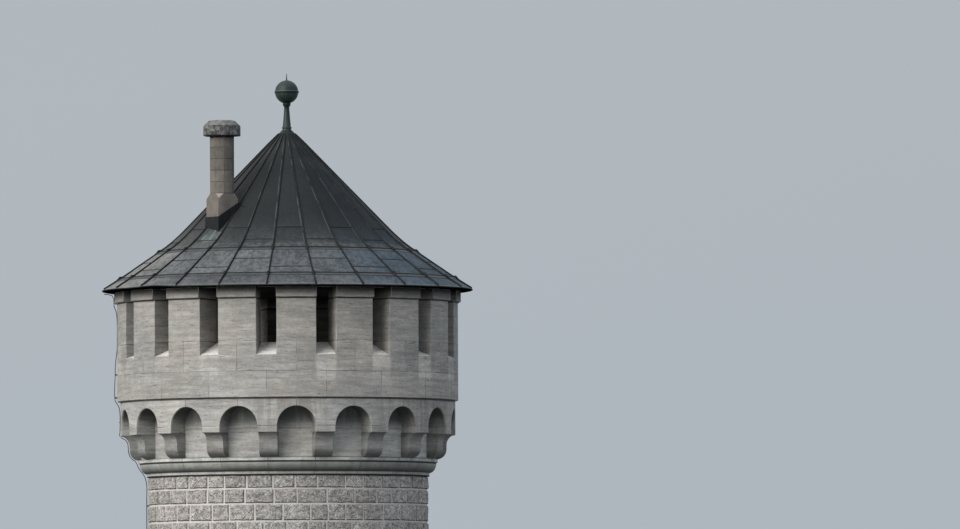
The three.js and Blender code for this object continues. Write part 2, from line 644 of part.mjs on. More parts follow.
function makeConductor() {
    const route = wireRoute().map(wirePoint);
    const last = route.at(-1);
    const start = last.clone().setZ(last.z + WIRE_RADIUS);
    const down = new THREE.LineCurve3(start, last.clone().setZ(0));
    let wire = wireAlong(new THREE.CatmullRomCurve3(route), WIRE_STEPS).add(wireAlong(down, 1));
    const onShaft = SHAFT_CLIP_SHARES.map((share) => (
        [SHAFT_RADIUS, SHAFT_HEIGHT * share, WIRE_STANDOFF, PIER_WIRE_ANGLE]));
    const clips = [
        [CAP_RADIUS, ROOF_LEVEL - 4 * WIRE_BEND, WIRE_OFF, MERLON_WIRE_ANGLE],
        [PARAPET_RADIUS, PARAPET_LEVEL + 16 * WIRE_BEND, WIRE_STANDOFF, PIER_WIRE_ANGLE],
        [PARAPET_RADIUS, PARAPET_LEVEL + 2.5 * WIRE_BEND, WIRE_STANDOFF, PIER_WIRE_ANGLE],
        [ARCH_RING_RADIUS, PARAPET_LEVEL - 12 * WIRE_BEND, WIRE_OFF, PIER_WIRE_ANGLE],
        ...onShaft,
    ];
    for (const [radius, height, off, angle] of clips) {
        const seat = facetRadius(radius, angle) + 2 * JOINT_GAP;
        const block = [
            [seat, height - CLIP_SIZE / 2],
            [radius + off + WIRE_RADIUS, height - CLIP_SIZE / 2],
            [radius + off + WIRE_RADIUS, height + CLIP_SIZE / 2],
            [seat, height + CLIP_SIZE / 2],
        ];
        wire = wire.add(radialSlab(block, CLIP_SIZE, angle));
    }
    return makeMesh('lightning_conductor', wire, WIRE_METAL);
}

const group = new THREE.Group();
group.add(makeShaft(), makeCornice(), makeCorbelWall(), makeArchRing(), makeParapet());
group.add(makeGalleryFloor(), makeRoof(), makeChimney(), makeFinial(), makeConductor());

export default group;
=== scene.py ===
# Looks of the round stone tower: coursed and carved masonry, a ribbed sheet-metal roof, a stone
# chimney, a ball finial and a lightning conductor. Metres, +Z up, in the same frame as the solids.
# An angle around the tower is in degrees, 0 at the front (-Y) and 90 at the right (+X).

import math
import random

import bpy
from mathutils import Matrix, Vector, geometry, noise


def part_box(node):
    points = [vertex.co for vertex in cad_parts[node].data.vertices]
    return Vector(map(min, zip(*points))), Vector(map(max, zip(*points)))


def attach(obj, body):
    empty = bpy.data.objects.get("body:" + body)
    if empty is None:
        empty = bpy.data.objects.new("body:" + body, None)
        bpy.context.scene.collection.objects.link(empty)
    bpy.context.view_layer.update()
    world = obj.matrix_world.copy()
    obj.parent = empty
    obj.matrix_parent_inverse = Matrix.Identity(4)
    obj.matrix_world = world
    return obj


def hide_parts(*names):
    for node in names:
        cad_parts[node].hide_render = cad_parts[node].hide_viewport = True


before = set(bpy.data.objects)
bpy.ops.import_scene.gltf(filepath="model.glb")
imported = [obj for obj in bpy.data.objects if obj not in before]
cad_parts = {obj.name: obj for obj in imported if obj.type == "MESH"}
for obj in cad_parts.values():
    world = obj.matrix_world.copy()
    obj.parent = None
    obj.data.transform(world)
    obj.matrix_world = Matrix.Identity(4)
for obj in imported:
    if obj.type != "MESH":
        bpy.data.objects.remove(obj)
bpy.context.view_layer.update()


def ring_of(kind):
    """Lowest level, highest level and outer radius of the CAD nodes whose names start with kind."""
    corners = [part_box(name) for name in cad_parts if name.startswith(kind)]
    low = min(corner[0].z for corner in corners)
    high = max(corner[1].z for corner in corners)
    return low, high, max(corner[1].x for corner in corners)


# Levels and radii that come from the frame
SHAFT_LOW, SHAFT_TOP, SHAFT_RADIUS = ring_of("shaft_wall")
CORNICE_LOW, CORNICE_TOP, CORNICE_RADIUS = ring_of("cornice")
ARCH_LOW, ARCH_TOP, ARCH_RADIUS_OUT = ring_of("arch_ring")
PARAPET_LOW, PARAPET_TOP, CAP_RADIUS = ring_of("parapet")
EAVE_LOW, _, EAVE_RADIUS = ring_of("roof_eave")
STEM_LOW, STEM_TOP, _ = ring_of("finial_stem")
BALL_LOW, BALL_TOP, _ = ring_of("finial_ball")
SPIKE_TOP = ring_of("finial_spike")[1]

# Rhythm around the tower
SECTORS = 6
BAYS = 18
BAY = 360 / BAYS
RIBS = 24
RIB_TURN = 0.8
RIB_BAY = 360 / RIBS
TURN_STEP = 2.5

# Dressed masonry
WALL_INNER_RADIUS = 2.371
DRUM_RADIUS = 3.455
ARRIS = 0.008

# Rock-faced blocks of the shaft
SHAFT_JOINT = 0.042
MORTAR_RADIUS = SHAFT_RADIUS - 0.017
RIM_RADIUS = SHAFT_RADIUS - 0.012
ROOT_RADIUS = MORTAR_RADIUS - 0.03
TOP_COURSES = (0.319, 0.352, 0.402)
COURSE_RANGE = (0.30, 0.41)
BLOCK_RANGE = (0.40, 0.74)
ROCK_CELL = 0.050
ROCK_GRAIN = 9.0
ROCK_MARGIN = 0.021
ROCK_UNDERCUT = 0.018
ROCK_RISE = (0.014, 0.024)
ROCK_SWELL = 0.012
ROCK_ROUGH = (0.011, 0.021)
ROCK_LEAN = (-0.004, 0.005)
ROCK_LEAST = 0.004
ROCK_MOST = 0.042
RAGGED = 0.010

# Cornice: lower fillet, convex quarter, upper fillet. Its painted light and shade are (height above its
# foot, amount)
CORNICE_FOOT_RADIUS = 3.314
CORNICE_FOOT = 0.085
OVOLO_INNER = 3.320
OVOLO_OUTER = 3.478
OVOLO_TOP = 0.325
CORNICE_STONES = 20
CORNICE_UNEVEN = 0.14
CORNICE_LIGHT_AND_SHADE = ((0.0, 0.05), (0.016, 0.06), (0.027, 1.40), (0.070, 1.35), (0.084, 0.20), (0.112, 0.27),
                 (0.192, 0.70), (0.270, 1.05), (0.284, 1.00), (0.296, 0.09), (0.315, 0.10), (0.325, 1.58),
                 (0.384, 1.60), (0.396, 0.80), (0.410, 0.75))

# Corbels and blind arches
CORBEL_WIDTH = 0.430
CORBEL_REACH = 3.920
CORBEL_NECK = 3.713
CORBEL_FOOT = 3.506
CORBEL_HOLLOW_FOOT = 0.321
CORBEL_ROUND_TOP = 0.240
CORBEL_ROOT = DRUM_RADIUS - 0.1
DRUM_JOINT = 12.075
ARCH_RADIUS = 0.458
ARCH_STEPS = 12
SPRINGING = 12.118

# Parapet. The turns are how far its columns of faces reach from a crenel's and a merlon's middle.
# Under the eave its painted shadow is (height over the cap band's top, amount)
PARAPET_INNER_RADIUS = 3.180
PARAPET_RADIUS = 4.000
CRENEL_HALF = 0.2355
CRENEL_TURN = 3.6
MERLON_TURN = 5
LOWER_COURSE_TOP = 13.380
SILL_OUTER = 13.757
SILL_INNER = 14.070
MERLON_BED = 14.086
CAP_LOW = 15.090
PAINTED_EAVE_SHADOW = ((-0.235, 1.0), (-0.205, 0.88), (-0.15, 0.60), (-0.08, 0.25), (0.0, 0.04))

# Roof, heights above the top of the merlon caps
EAVE_TIP = 0.034
EAVE_EDGE = 0.022
EAVE_INSET = 0.004
SOFFIT_INSET = 0.05
SOFFIT_DEPTH = 0.20
LOWER_SEAM = (3.925, 0.323)
UPPER_SEAM = (3.008, 0.951)
SEAM_RADII = (LOWER_SEAM[0], UPPER_SEAM[0])
SWEEP_END = (2.330, 1.546)
CONE_TOP = (0.115, 3.823)
SWEEP_PULL = 0.38
ROOF_DEPTH = 0.096
TOP_HOLE = 0.06
TOP_DEPTH = 0.3
PANEL_STEPS = 8
STRIP = 0.105
STRIP_OVER = 0.005
STRIP_UNDER = 0.03
SEAM_ROLL = 0.017
SEAM_ROLL_OUT = 0.008
SEAM_ROLL_DROP = 0.004
SKIRT_SEAMS = (0.24, 0.56)
CONE_SEAMS = (0.215, 0.095)
NO_SEAMS = (9, 9)
BARE_PATCH = (2.65, -36.0)

# Ribs, with a knot below each ring seam, and the folded lips of the cross seams
RIB_HALF = 0.016
RIB_HEIGHT = 0.040
RIB_SECTION = ((-1.0, -0.5), (-1.0, 0.45), (-0.62, 0.9), (0.0, 1.05), (0.62, 0.9), (1.0, 0.45), (1.0, -0.5))
RIB_TOP = 0.118
RIB_CROWDING = 0.42
KNOT = 0.9
KNOT_BELOW = 0.055
KNOT_SPREAD = 0.045
KNOT_REACH = 0.12
KNOT_STEPS = 8
LIP = ((-0.008, 0.006), (0.0, 0.011), (0.007, 0.009), (0.007, -0.012), (-0.008, -0.012))
CRICKET_SEAM = ((1.89, -28.3), (2.00, -18.5))
CRICKET_STEPS = 8
CRICKET_HALF = 0.009
CRICKET_HEIGHT = 0.014
CRICKET_SINK = 0.002

# Unevenness of the sheets, and of the eave's edge, whose kink's turn counts from the camera's
SHEET_LAP = 0.005
SHEET_BULGE = 0.005
SHEET_RIPPLE = 0.002
SHEET_SINK = 0.004
EAVE_SAG = 0.018
EAVE_RISE = 0.026
EAVE_KINK = 0.03
EAVE_KINK_TURN = -46
EAVE_KINK_SPREAD = 7

# Chimney
CHIMNEY_PLACE = (-1.3114, -1.7214)
CHIMNEY_TURN = -50.3
CHIMNEY_SIDE = 0.538
CHIMNEY_FLATS = 0.531
CHIMNEY_COURSES = 5
CHIMNEY_POINTS = 16
CAP_FLATS = 0.818
CAP_TOP_FLATS = 0.565
CAP_BEVEL = 0.129
CAP_ARRIS = 0.012
FLUE_RADIUS = 0.120
BROACH = 0.135

# Finial: profiles of (radius, height above the stem's foot), then the ball and its band
STEM_FOOT = ((0.112, 0.0), (0.098, 0.042))
STEM_ROLL = (0.103, 0.058)
STEM_ROLL_RADII = (0.017, 0.016)
STEM_TAPER = ((0.098, 0.076), (0.082, 0.24), (0.068, 0.42), (0.060, 0.535), (0.072, 0.565), (0.092, 0.592))
STEM_NECK = 0.092
BALL_RADIUS = 0.274
BALL_BAND_LEVEL = STEM_LOW + 0.903
BALL_BAND_HALF = 0.034
BALL_BAND_RING = 0.276
BAND_LIP_RADII = (0.010, 0.008)
BAND_LIP_DROP = 0.022
BAND_ROLL_RADII = (0.014, 0.014)
BAND_ROLL_RISE = 0.006
SPIKE_FOOT = 0.020
SPIKE_SINK = 0.004
SPIKE_BODY = 0.013
SPIKE_TAPER = 0.05
SPIKE_TIP = 0.006
AXIS_HOLE = 0.004

# Camera and light. The sky's stops follow the height of a direction, and its reach to the right
CAMERA_AZIMUTH = 7.1
CAMERA_DISTANCE = 223.0
CAMERA_HEIGHT = 6.5
CAMERA_PITCH = 2.4336
CAMERA_YAW = 1.1627
CAMERA_ROLL = -0.29
CAMERA_LENS = 356.25
CAMERA_SENSOR = 36.0
SUN_STRENGTH = 2.75
SUN_AZIMUTH = CAMERA_AZIMUTH - 50
SUN_HEIGHT = 26.0
SUN_SPREAD = 55.0
SUN_COLOUR = (1.0, 0.985, 0.955)
SKY_STRENGTH = 1.15
SKY_RISING = ((0.0, (0.418, 0.468, 0.515)), (0.12, (0.44, 0.47, 0.50)), (1.0, (0.92, 0.945, 0.96)))
SKY_ACROSS = ((0.0, (1.0, 0.97, 0.94)), (0.5, (0.87, 0.87, 0.87)), (1.0, (0.62, 0.69, 0.80)))
FLOOR_RADIUS = 180.0
FLOOR_LEVEL = -0.002

dice = random.Random(31)


def at(radius, angle, height):
    """Point at a radius, an angle around the tower and a height."""
    turn = math.radians(angle)
    return (radius * math.sin(turn), -radius * math.cos(turn), height)


def jamb(middle, offset):
    """Angle, at any radius, of a line that runs beside a crenel's middle line."""
    return lambda radius: middle + math.degrees(math.asin(offset / radius))


def angle_at(edge, radius):
    return edge(radius) if callable(edge) else edge


def spread(first, last, step=TURN_STEP):
    """Angles from first to last, about a step apart."""
    count = max(1, round((last - first) / step))
    return [first + (last - first) * i / count for i in range(count + 1)]


def straight(start, end, steps):
    """Points on the line between two points in a plane."""
    return [(start[0] + (end[0] - start[0]) * i / steps, start[1] + (end[1] - start[1]) * i / steps)
            for i in range(steps + 1)]


def arc(centre, radii, first, last, steps):
    """Points on part of an ellipse, angles in degrees."""
    points = []
    for i in range(steps + 1):
        turn = math.radians(first + (last - first) * i / steps)
        points.append((centre[0] + radii[0] * math.cos(turn), centre[1] + radii[1] * math.sin(turn)))
    return points


def placed(name, data):
    thing = bpy.data.objects.new(name, data)
    bpy.context.scene.collection.objects.link(thing)
    return thing


class Bundle:
    """Closed solids joined in one mesh. Each face has a tone, a share of painted shade and a material."""

    def __init__(self):
        self.points = []
        self.faces = []
        self.tones = []
        self.painted_shades = []
        self.finishes = []

    def add(self, points, faces, tone=0.5, finish=0, painted_shades=None, upward=None):
        """Adds a solid. Faces that look up get the material upward, where one is given."""
        start = len(self.points)
        self.points += points
        self.faces += [[start + corner for corner in face] for face in faces]
        self.tones += [tone] * len(faces)
        self.painted_shades += painted_shades or [0.0] * len(faces)
        for face in faces:
            top = upward is not None and geometry.normal(*[Vector(points[c]) for c in face]).z > 0.6
            self.finishes.append(upward if top else finish)

    def piece(self, name, slot, materials, nodes=(), bevel=0.0, sharp=32.0):
        """Makes the object, rounds its arrises and sets it on the tower."""
        mesh = bpy.data.meshes.new(name)
        mesh.from_pydata(self.points, [], self.faces)
        for title, values in (("tone", self.tones), ("painted_shade", self.painted_shades)):
            mesh.attributes.new(title, "FLOAT", "FACE").data.foreach_set("value", values)
        for material in materials:
            mesh.materials.append(material)
        mesh.polygons.foreach_set("material_index", self.finishes)
        thing = placed(name, mesh)
        if bevel:
            edges = thing.modifiers.new("arrises", "BEVEL")
            edges.width = bevel
            edges.segments = 1
            edges.limit_method = "ANGLE"
            edges.angle_limit = math.radians(35)
            edges.use_clamp_overlap = True
            if len(materials) > 1:
                edges.material = len(materials) - 1
            shaped = thing.evaluated_get(bpy.context.evaluated_depsgraph_get())
            thing.data = bpy.data.meshes.new_from_object(shaped)
            thing.modifiers.clear()
            bpy.data.meshes.remove(mesh)
        thing.data.polygons.foreach_set("use_smooth", [True] * len(thing.data.polygons))
        thing.data.set_sharp_from_angle(angle=math.radians(sharp))
        thing.data.name = name
        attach(thing, "root")
        if nodes:
            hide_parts(*nodes)


def cells(radii, edges, level, filled):
    """Closed solid made of the filled cells of a grid of columns and levels round the tower."""
    points, index, faces = [], {}, []
    columns, rows = len(edges) - 1, len(filled[0])

    def corner(i, j, side):
        if (i, j, side) not in index:
            index[i, j, side] = len(points)
            radius = radii[side]
            points.append(at(radius, angle_at(edges[i], radius), level(i, j, side)))
        return index[i, j, side]

    def full(i, j):
        return 0 <= i < columns and 0 <= j < rows and filled[i][j]

    for i in range(columns):
        for j in range(rows):
            if not full(i, j):
                continue
            front = [(i, j), (i + 1, j), (i + 1, j + 1), (i, j + 1)]
            faces.append([corner(*place, 1) for place in front])
            faces.append([corner(*place, 0) for place in reversed(front)])
            borders = [
                (full(i, j - 1), (i + 1, j), (i, j)),
                (full(i, j + 1), (i, j + 1), (i + 1, j + 1)),
                (full(i - 1, j), (i, j), (i, j + 1)),
                (full(i + 1, j), (i + 1, j + 1), (i + 1, j)),
            ]
            for closed, start, end in borders:
                if not closed:
                    faces.append([corner(*start, 1), corner(*end, 1), corner(*end, 0), corner(*start, 0)])
    return points, faces


def course_stone(radii, edges, low, high):
    """Plain stone of a ring, between two levels."""
    filled = [[True]] * (len(edges) - 1)
    return cells(radii, edges, lambda i, j, side: (low, high)[j], filled)


def skin(size, count, whole=False):
    """Faces over count rings of size points each, with two ends unless the last ring meets the first."""
    faces = []
    for k in range(count if whole else count - 1):
        a, b = k * size, (k + 1) % count * size
        for p in range(size):
            q = (p + 1) % size
            faces.append([a + p, b + p, b + q, a + q])
    if not whole:
        faces.append(list(range(size)))
        faces.append([(count - 1) * size + p for p in reversed(range(size))])
    return faces


def swept(profile, edges, lift=None):
    """A closed outline of (radius, height) points carried round the tower through the angles."""
    whole = not callable(edges[0]) and edges[-1] - edges[0] >= 360
    stations = edges[:-1] if whole else edges
    points = [at(r, angle_at(edge, r), z) for edge in stations for r, z in profile]
    if lift:
        points = [(x, y, z + lift(x, y, z)) for x, y, z in points]
    return points, skin(len(profile), len(stations), whole)


def slab(profile, widths, angle):
    """A closed outline of (radius, height) points in a radial plane, given its width across."""
    turn = math.radians(angle)
    points = []
    for across in widths:
        for r, z in profile:
            x, y, _ = at(r, angle, z)
            points.append((x + across * math.cos(turn), y + across * math.sin(turn), z))
    return points, skin(len(profile), len(widths))


def lofted(rings, closed=False):
    """Skin over rings of points, each listed anticlockwise as seen from the next ring."""
    points = [point for ring in rings for point in ring]
    faces = skin(len(rings[0]), len(rings), closed)
    return points, [[face[0], *reversed(face[1:])] for face in faces]


def sector_names(kind):
    return [f"{kind}_{turn + 1}" for turn in range(SECTORS)]


def sector_of(angle, first):
    """Number of the sector that holds an angle, where sector 0 starts at first."""
    return int(((angle - first) % 360) // (360 / SECTORS))


def new_bundles():
    return [Bundle() for _ in range(SECTORS)]


def set_sectors(bundles, kind, title, slot, materials, bevel=ARRIS):
    for bundle, node, name in zip(bundles, sector_names(kind), sector_names(title)):
        bundle.piece(name, slot, materials, [node], bevel)


class Nodes:
    """Shader nodes whose surface is linked to their output, and the place that they shade."""

    def __init__(self, owner, surface, output, space):
        owner.use_nodes = True
        self.tree = owner.node_tree
        self.tree.nodes.clear()
        self.surface = self.node(surface)
        self.link(self.surface.outputs[0], self.node(output).inputs["Surface"])
        self.place = self.node("ShaderNodeTexCoord").outputs[space]
        parts = self.node("ShaderNodeSeparateXYZ")
        self.link(self.place, parts.inputs[0])
        self.x, self.y, self.height = parts.outputs

    def node(self, kind):
        return self.tree.nodes.new(kind)

    def link(self, value, socket):
        """Links another socket to this one, or else sets it to a plain value."""
        if isinstance(value, bpy.types.NodeSocket):
            self.tree.links.new(value, socket)
        else:
            socket.default_value = value

    def ramp(self, value, stops):
        """Colour that follows value through (place, colour) stops."""
        node = self.node("ShaderNodeValToRGB")
        self.link(value, node.inputs[0])
        elements = node.color_ramp.elements
        while len(elements) < len(stops):
            elements.new(0.5)
        for element, (place, colour) in zip(elements, stops):
            element.position = place
            element.color = (*colour, 1.0)
        return node.outputs[0]


class Finish(Nodes):
    """One procedural material, built up as a colour and a relief."""

    def __init__(self, name):
        self.material = bpy.data.materials.new(name)
        super().__init__(self.material, "ShaderNodeBsdfPrincipled", "ShaderNodeOutputMaterial", "Object")
        self.colour = None
        self.normal = None

    def math(self, operation, first, second=0.0):
        node = self.node("ShaderNodeMath")
        node.operation = operation
        self.link(first, node.inputs[0])
        self.link(second, node.inputs[1])
        return node.outputs[0]

    def plus(self, first, second):
        return self.math("ADD", first, second)

    def minus(self, first, second):
        return self.math("SUBTRACT", first, second)

    def times(self, product, *others):
        for other in others:
            product = self.math("MULTIPLY", product, other)
        return product

    def plan_distance(self, x=0.0, y=0.0):
        """Distance, seen from above, from a point, or else from the tower's axis."""
        across, along = self.minus(self.x, x), self.minus(self.y, y)
        return self.math("SQRT", self.plus(self.times(across, across), self.times(along, along)))

    def turn(self):
        """Angle around the tower in radians, 0 at the front."""
        return self.math("ARCTAN2", self.x, self.times(self.y, -1.0))

    def bay_phase(self, bays, start=0.0):
        """Place in a bay, 0 at its first edge and 1 at its last, given the angle where bay 0 starts."""
        past = self.times(self.turn(), bays / math.tau)
        return self.math("FRACT", self.plus(past, bays - start * bays / 360))

    def vector(self, x, y, z):
        node = self.node("ShaderNodeCombineXYZ")
        for value, socket in zip((x, y, z), node.inputs):
            self.link(value, socket)
        return node.outputs[0]

    def noise(self, grain, detail=3.0, rough=0.55, distortion=0.0, place=None):
        """Noise whose grain is given in turns a metre, as one number or one for each axis."""
        mapping = self.node("ShaderNodeMapping")
        mapping.inputs["Scale"].default_value = grain if isinstance(grain, tuple) else (grain,) * 3
        self.link(place or self.place, mapping.inputs["Vector"])
        node = self.node("ShaderNodeTexNoise")
        settings = (("Vector", mapping.outputs[0]), ("Scale", 1.0), ("Detail", detail),
                    ("Roughness", rough), ("Distortion", distortion))
        for name, value in settings:
            self.link(value, node.inputs[name])
        return node.outputs["Fac"]

    def band(self, value, low, high, start=0.0, end=1.0):
        """Goes smoothly from start to end as value goes from low to high."""
        node = self.node("ShaderNodeMapRange")
        node.interpolation_type = "SMOOTHSTEP"
        self.link(value, node.inputs["Value"])
        for name, number in (("From Min", low), ("From Max", high), ("To Min", start), ("To Max", end)):
            self.link(number, node.inputs[name])
        return node.outputs[0]

    def between(self, value, low, high, fade):
        """1 from low to high, and 0 outside, with a fade at both ends."""
        return self.times(self.band(value, low - fade, low), self.band(value, high, high + fade, 1.0, 0.0))

    def profile(self, value, base, stops):
        """Amount from 0 to 2 that follows value, less base, through (place, amount) stops."""
        first, last = stops[0][0], stops[-1][0]
        share = self.math("DIVIDE", self.minus(value, base + first), last - first)
        greys = [((place - first) / (last - first), (amount / 2,) * 3) for place, amount in stops]
        return self.times(self.ramp(share, greys), 2.0)

    def attribute(self, name):
        node = self.node("ShaderNodeAttribute")
        node.attribute_name = name
        return node.outputs["Fac"]

    def mix(self, share, first, second):
        node = self.node("ShaderNodeMix")
        node.data_type = "RGBA"
        self.link(share, node.inputs[0])
        for value, socket in ((first, node.inputs[6]), (second, node.inputs[7])):
            self.link(value if isinstance(value, bpy.types.NodeSocket) else (*value, 1.0), socket)
        return node.outputs[2]

    def tint(self, share, colour):
        """Mixes another colour in."""
        self.colour = self.mix(share, self.colour, colour)

    def shade(self, amount):
        """Makes the colour darker or lighter by a grey amount around 1."""
        node = self.node("ShaderNodeVectorMath")
        node.operation = "SCALE"
        self.link(self.colour, node.inputs[0])
        self.link(amount, node.inputs["Scale"])
        self.colour = node.outputs[0]

    def fade(self, value, low, high, start, end):
        """Shades by start where value is low, by end where it is high, and smoothly between."""
        self.shade(self.band(value, low, high, start, end))

    def where(self, share, amount):
        """Shades by the amount where share is 1, and not at all where it is 0."""
        self.fade(share, 0.0, 1.0, 1.0, amount)

    def bump(self, height, distance, strength):
        """Adds relief over what there is."""
        node = self.node("ShaderNodeBump")
        for name, value in (("Height", height), ("Distance", distance), ("Strength", strength)):
            self.link(value, node.inputs[name])
        if self.normal:
            self.link(self.normal, node.inputs["Normal"])
        self.normal = node.outputs[0]

    def done(self, rough, specular=0.3, metallic=0.0):
        settings = [("Base Color", self.colour), ("Roughness", rough),
                    ("Specular IOR Level", specular), ("Metallic", metallic)]
        if self.normal:
            settings.append(("Normal", self.normal))
        for name, value in settings:
            self.link(value, self.surface.inputs[name])
        return self.material


def ashlar(name, colour):
    """Smooth bedded stone, with a few dark and light beds in it."""
    finish = Finish(name)
    clouds = finish.noise(0.8, 4, 0.6)
    beds = finish.noise((3.6, 3.6, 27.0), 5, 0.7)
    fine = finish.noise((46, 46, 60), 3, 0.7)
    blots = finish.noise((5.0, 5.0, 9.0), 4, 0.65)
    cool = tuple(part * share for part, share in zip(colour, (0.95, 0.98, 1.02)))
    finish.colour = finish.mix(finish.band(clouds, 0.35, 0.65), cool, colour)
    finish.fade(clouds, 0.28, 0.72, 0.94, 1.06)
    finish.fade(blots, 0.30, 0.70, 0.90, 1.08)
    finish.fade(finish.noise((1.1, 1.1, 5.5), 2, 0.5), 0.36, 0.64, 0.90, 1.08)
    finish.fade(finish.noise((0.9, 0.9, 14.0), 3, 0.6), 0.36, 0.60, 0.88, 1.06)
    finish.fade(finish.noise((30, 30, 36), 2, 0.6), 0.27, 0.40, 0.68, 1.0)
    finish.fade(finish.noise((15, 15, 19), 3, 0.7), 0.34, 0.66, 0.94, 1.07)
    plain = finish.band(blots, 0.44, 0.60, 1.0, 0.4)
    finish.shade(finish.math("MAXIMUM", finish.band(beds, 0.32, 0.47, 0.46, 1.0), plain))
    finish.fade(beds, 0.54, 0.70, 1.0, 1.24)
    finish.fade(fine, 0.3, 0.7, 0.93, 1.06)
    finish.fade(finish.attribute("tone"), 0.0, 1.0, 0.93, 1.06)
    finish.bump(beds, 0.005, 0.4)
    finish.bump(fine, 0.004, 0.4)
    return finish


def mottled(name, grain, rough, stops, depth=0.004):
    """Surface whose colour follows one noise through the stops, and whose relief has that depth."""
    finish = Finish(name)
    worn = finish.noise(grain, 4, rough)
    finish.colour = finish.ramp(worn, stops)
    if depth:
        finish.bump(worn, depth, 0.4)
    return finish


def parapet_finish():
    finish = ashlar("parapet_stone", (0.343, 0.319, 0.288))
    height = finish.height
    from_crenel = finish.times(finish.math("ABSOLUTE", finish.minus(finish.bay_phase(BAYS), 0.5)), 2.0)
    ragged = finish.plus(from_crenel, finish.band(finish.noise((4, 4, 0.7)), 0, 1, -0.08, 0.08))
    washed = finish.times(
        finish.band(ragged, 0.57, 0.73),
        finish.band(height, 13.0, 13.42, 0.10, 1.0),
        finish.band(height, SILL_OUTER, SILL_OUTER + 0.05, 1.0, 0.0),
        finish.band(finish.math("ABSOLUTE", finish.turn()), 0.12, 0.24),
        finish.band(finish.x, -1.4, 1.4, 0.4, 1.0),
    )
    finish.where(washed, 1.40)
    finish.fade(height, SILL_OUTER, LOWER_COURSE_TOP, 1.0, 1.08)
    # Painted highlight on the parapet's lower arris
    finish.fade(height, PARAPET_LOW + 0.015, PARAPET_LOW + 0.03, 1.12, 1.0)
    # Painted shadow: a dark line on the merlon faces just under the caps
    finish.where(finish.between(height, CAP_LOW - 0.034, CAP_LOW - 0.006, 0.008), 0.20)
    # Painted shade: the caps darker towards the right
    on_cap = finish.band(height, CAP_LOW - 0.01, CAP_LOW)
    finish.where(finish.times(on_cap, finish.band(finish.x, 1.0, 3.0)), 0.74)
    # Painted shadow under the eave, over the caps
    finish.shade(finish.profile(height, PARAPET_TOP, PAINTED_EAVE_SHADOW))
    # Painted light: the parapet's inner faces lighter
    finish.fade(finish.plan_distance(), PARAPET_INNER_RADIUS, PARAPET_INNER_RADIUS + 0.25, 1.15, 1.0)
    return finish.done(0.9)


def sill_finish():
    finish = ashlar("sill_stone", (0.78, 0.75, 0.71))
    # Painted shade: the sills a little darker towards their inner edge
    finish.fade(finish.plan_distance(), PARAPET_INNER_RADIUS + 0.1, PARAPET_RADIUS + 0.05, 0.96, 1.02)
    return finish.done(0.88)


def arch_finish():
    finish = ashlar("arch_stone", (0.402, 0.383, 0.351))
    places = finish.band(finish.noise((0.8, 0.8, 0.05), 2), 0.48, 0.60)
    streaks = finish.band(finish.noise((7.0, 7.0, 0.55), 4, 0.62), 0.42, 0.62, 1.0, 0.0)
    finish.tint(finish.times(places, streaks, 0.5), (0.19, 0.172, 0.158))
    # Painted shadow: a dark band along the top, under the parapet's overhang
    finish.fade(finish.height, ARCH_TOP - 0.050, ARCH_TOP - 0.036, 1.0, 0.25)
    # Painted shade on the arches' soffits, darker towards the crown
    inside = finish.band(finish.plan_distance(), ARCH_RADIUS_OUT - 0.06, ARCH_RADIUS_OUT - 0.015, 1.0, 0.0)
    high = finish.band(finish.height, 12.02, 12.50, 0.10, 0.97)
    finish.tint(finish.times(inside, high), (0.050, 0.050, 0.047))
    return finish.done(0.9)


def drum_finish():
    finish = ashlar("drum_stone", (0.410, 0.391, 0.358))
    high = finish.band(finish.height, 11.98, 12.36)
    right = finish.band(finish.x, 0.2, 1.4)
    # Top of the recess wall darker: partly soot, partly painted shade under the arches
    soot_and_shade = finish.band(finish.noise((4.5, 4.5, 0.9), 4), 0.2, 0.6, 0.60, 1.0)
    finish.tint(finish.times(high, soot_and_shade), (0.115, 0.120, 0.108))
    finish.where(finish.between(finish.height, DRUM_JOINT - 0.026, DRUM_JOINT + 0.008, 0.010), 0.84)
    # Painted light: the recess wall lighter towards the right, and painted shade on its top there
    finish.fade(right, 0.0, 1.0, 0.93, 1.22)
    finish.where(finish.times(high, right), 0.64)
    return finish.done(0.9)


def corbel_finish():
    finish = ashlar("corbel_stone", (0.285, 0.273, 0.250))
    # Painted shade: darker at the corbel's rounded foot and under the pier above it
    finish.fade(finish.height, 11.44, 11.66, 0.42, 1.0)
    finish.fade(finish.height, 11.80, 11.96, 1.0, 0.62)
    return finish.done(0.9)


def cornice_finish():
    finish = ashlar("cornice_stone", (0.315, 0.308, 0.283))
    green = finish.between(finish.height, CORNICE_LOW + 0.03, CORNICE_LOW + 0.30, 0.01)
    finish.tint(finish.times(green, 0.5), (0.295, 0.302, 0.272))
    # Painted shadow lines under the fillets and painted highlights on their faces, by height
    finish.shade(finish.profile(finish.height, CORNICE_LOW, CORNICE_LIGHT_AND_SHADE))
    finish.fade(finish.noise((5.0, 5.0, 1.5), 4, 0.65), 0.30, 0.66, 0.80, 1.08)
    # Painted light: lighter to the left, darker to the right
    finish.fade(finish.x, -3.0, 3.0, 1.12, 0.90)
    return finish.done(0.88)


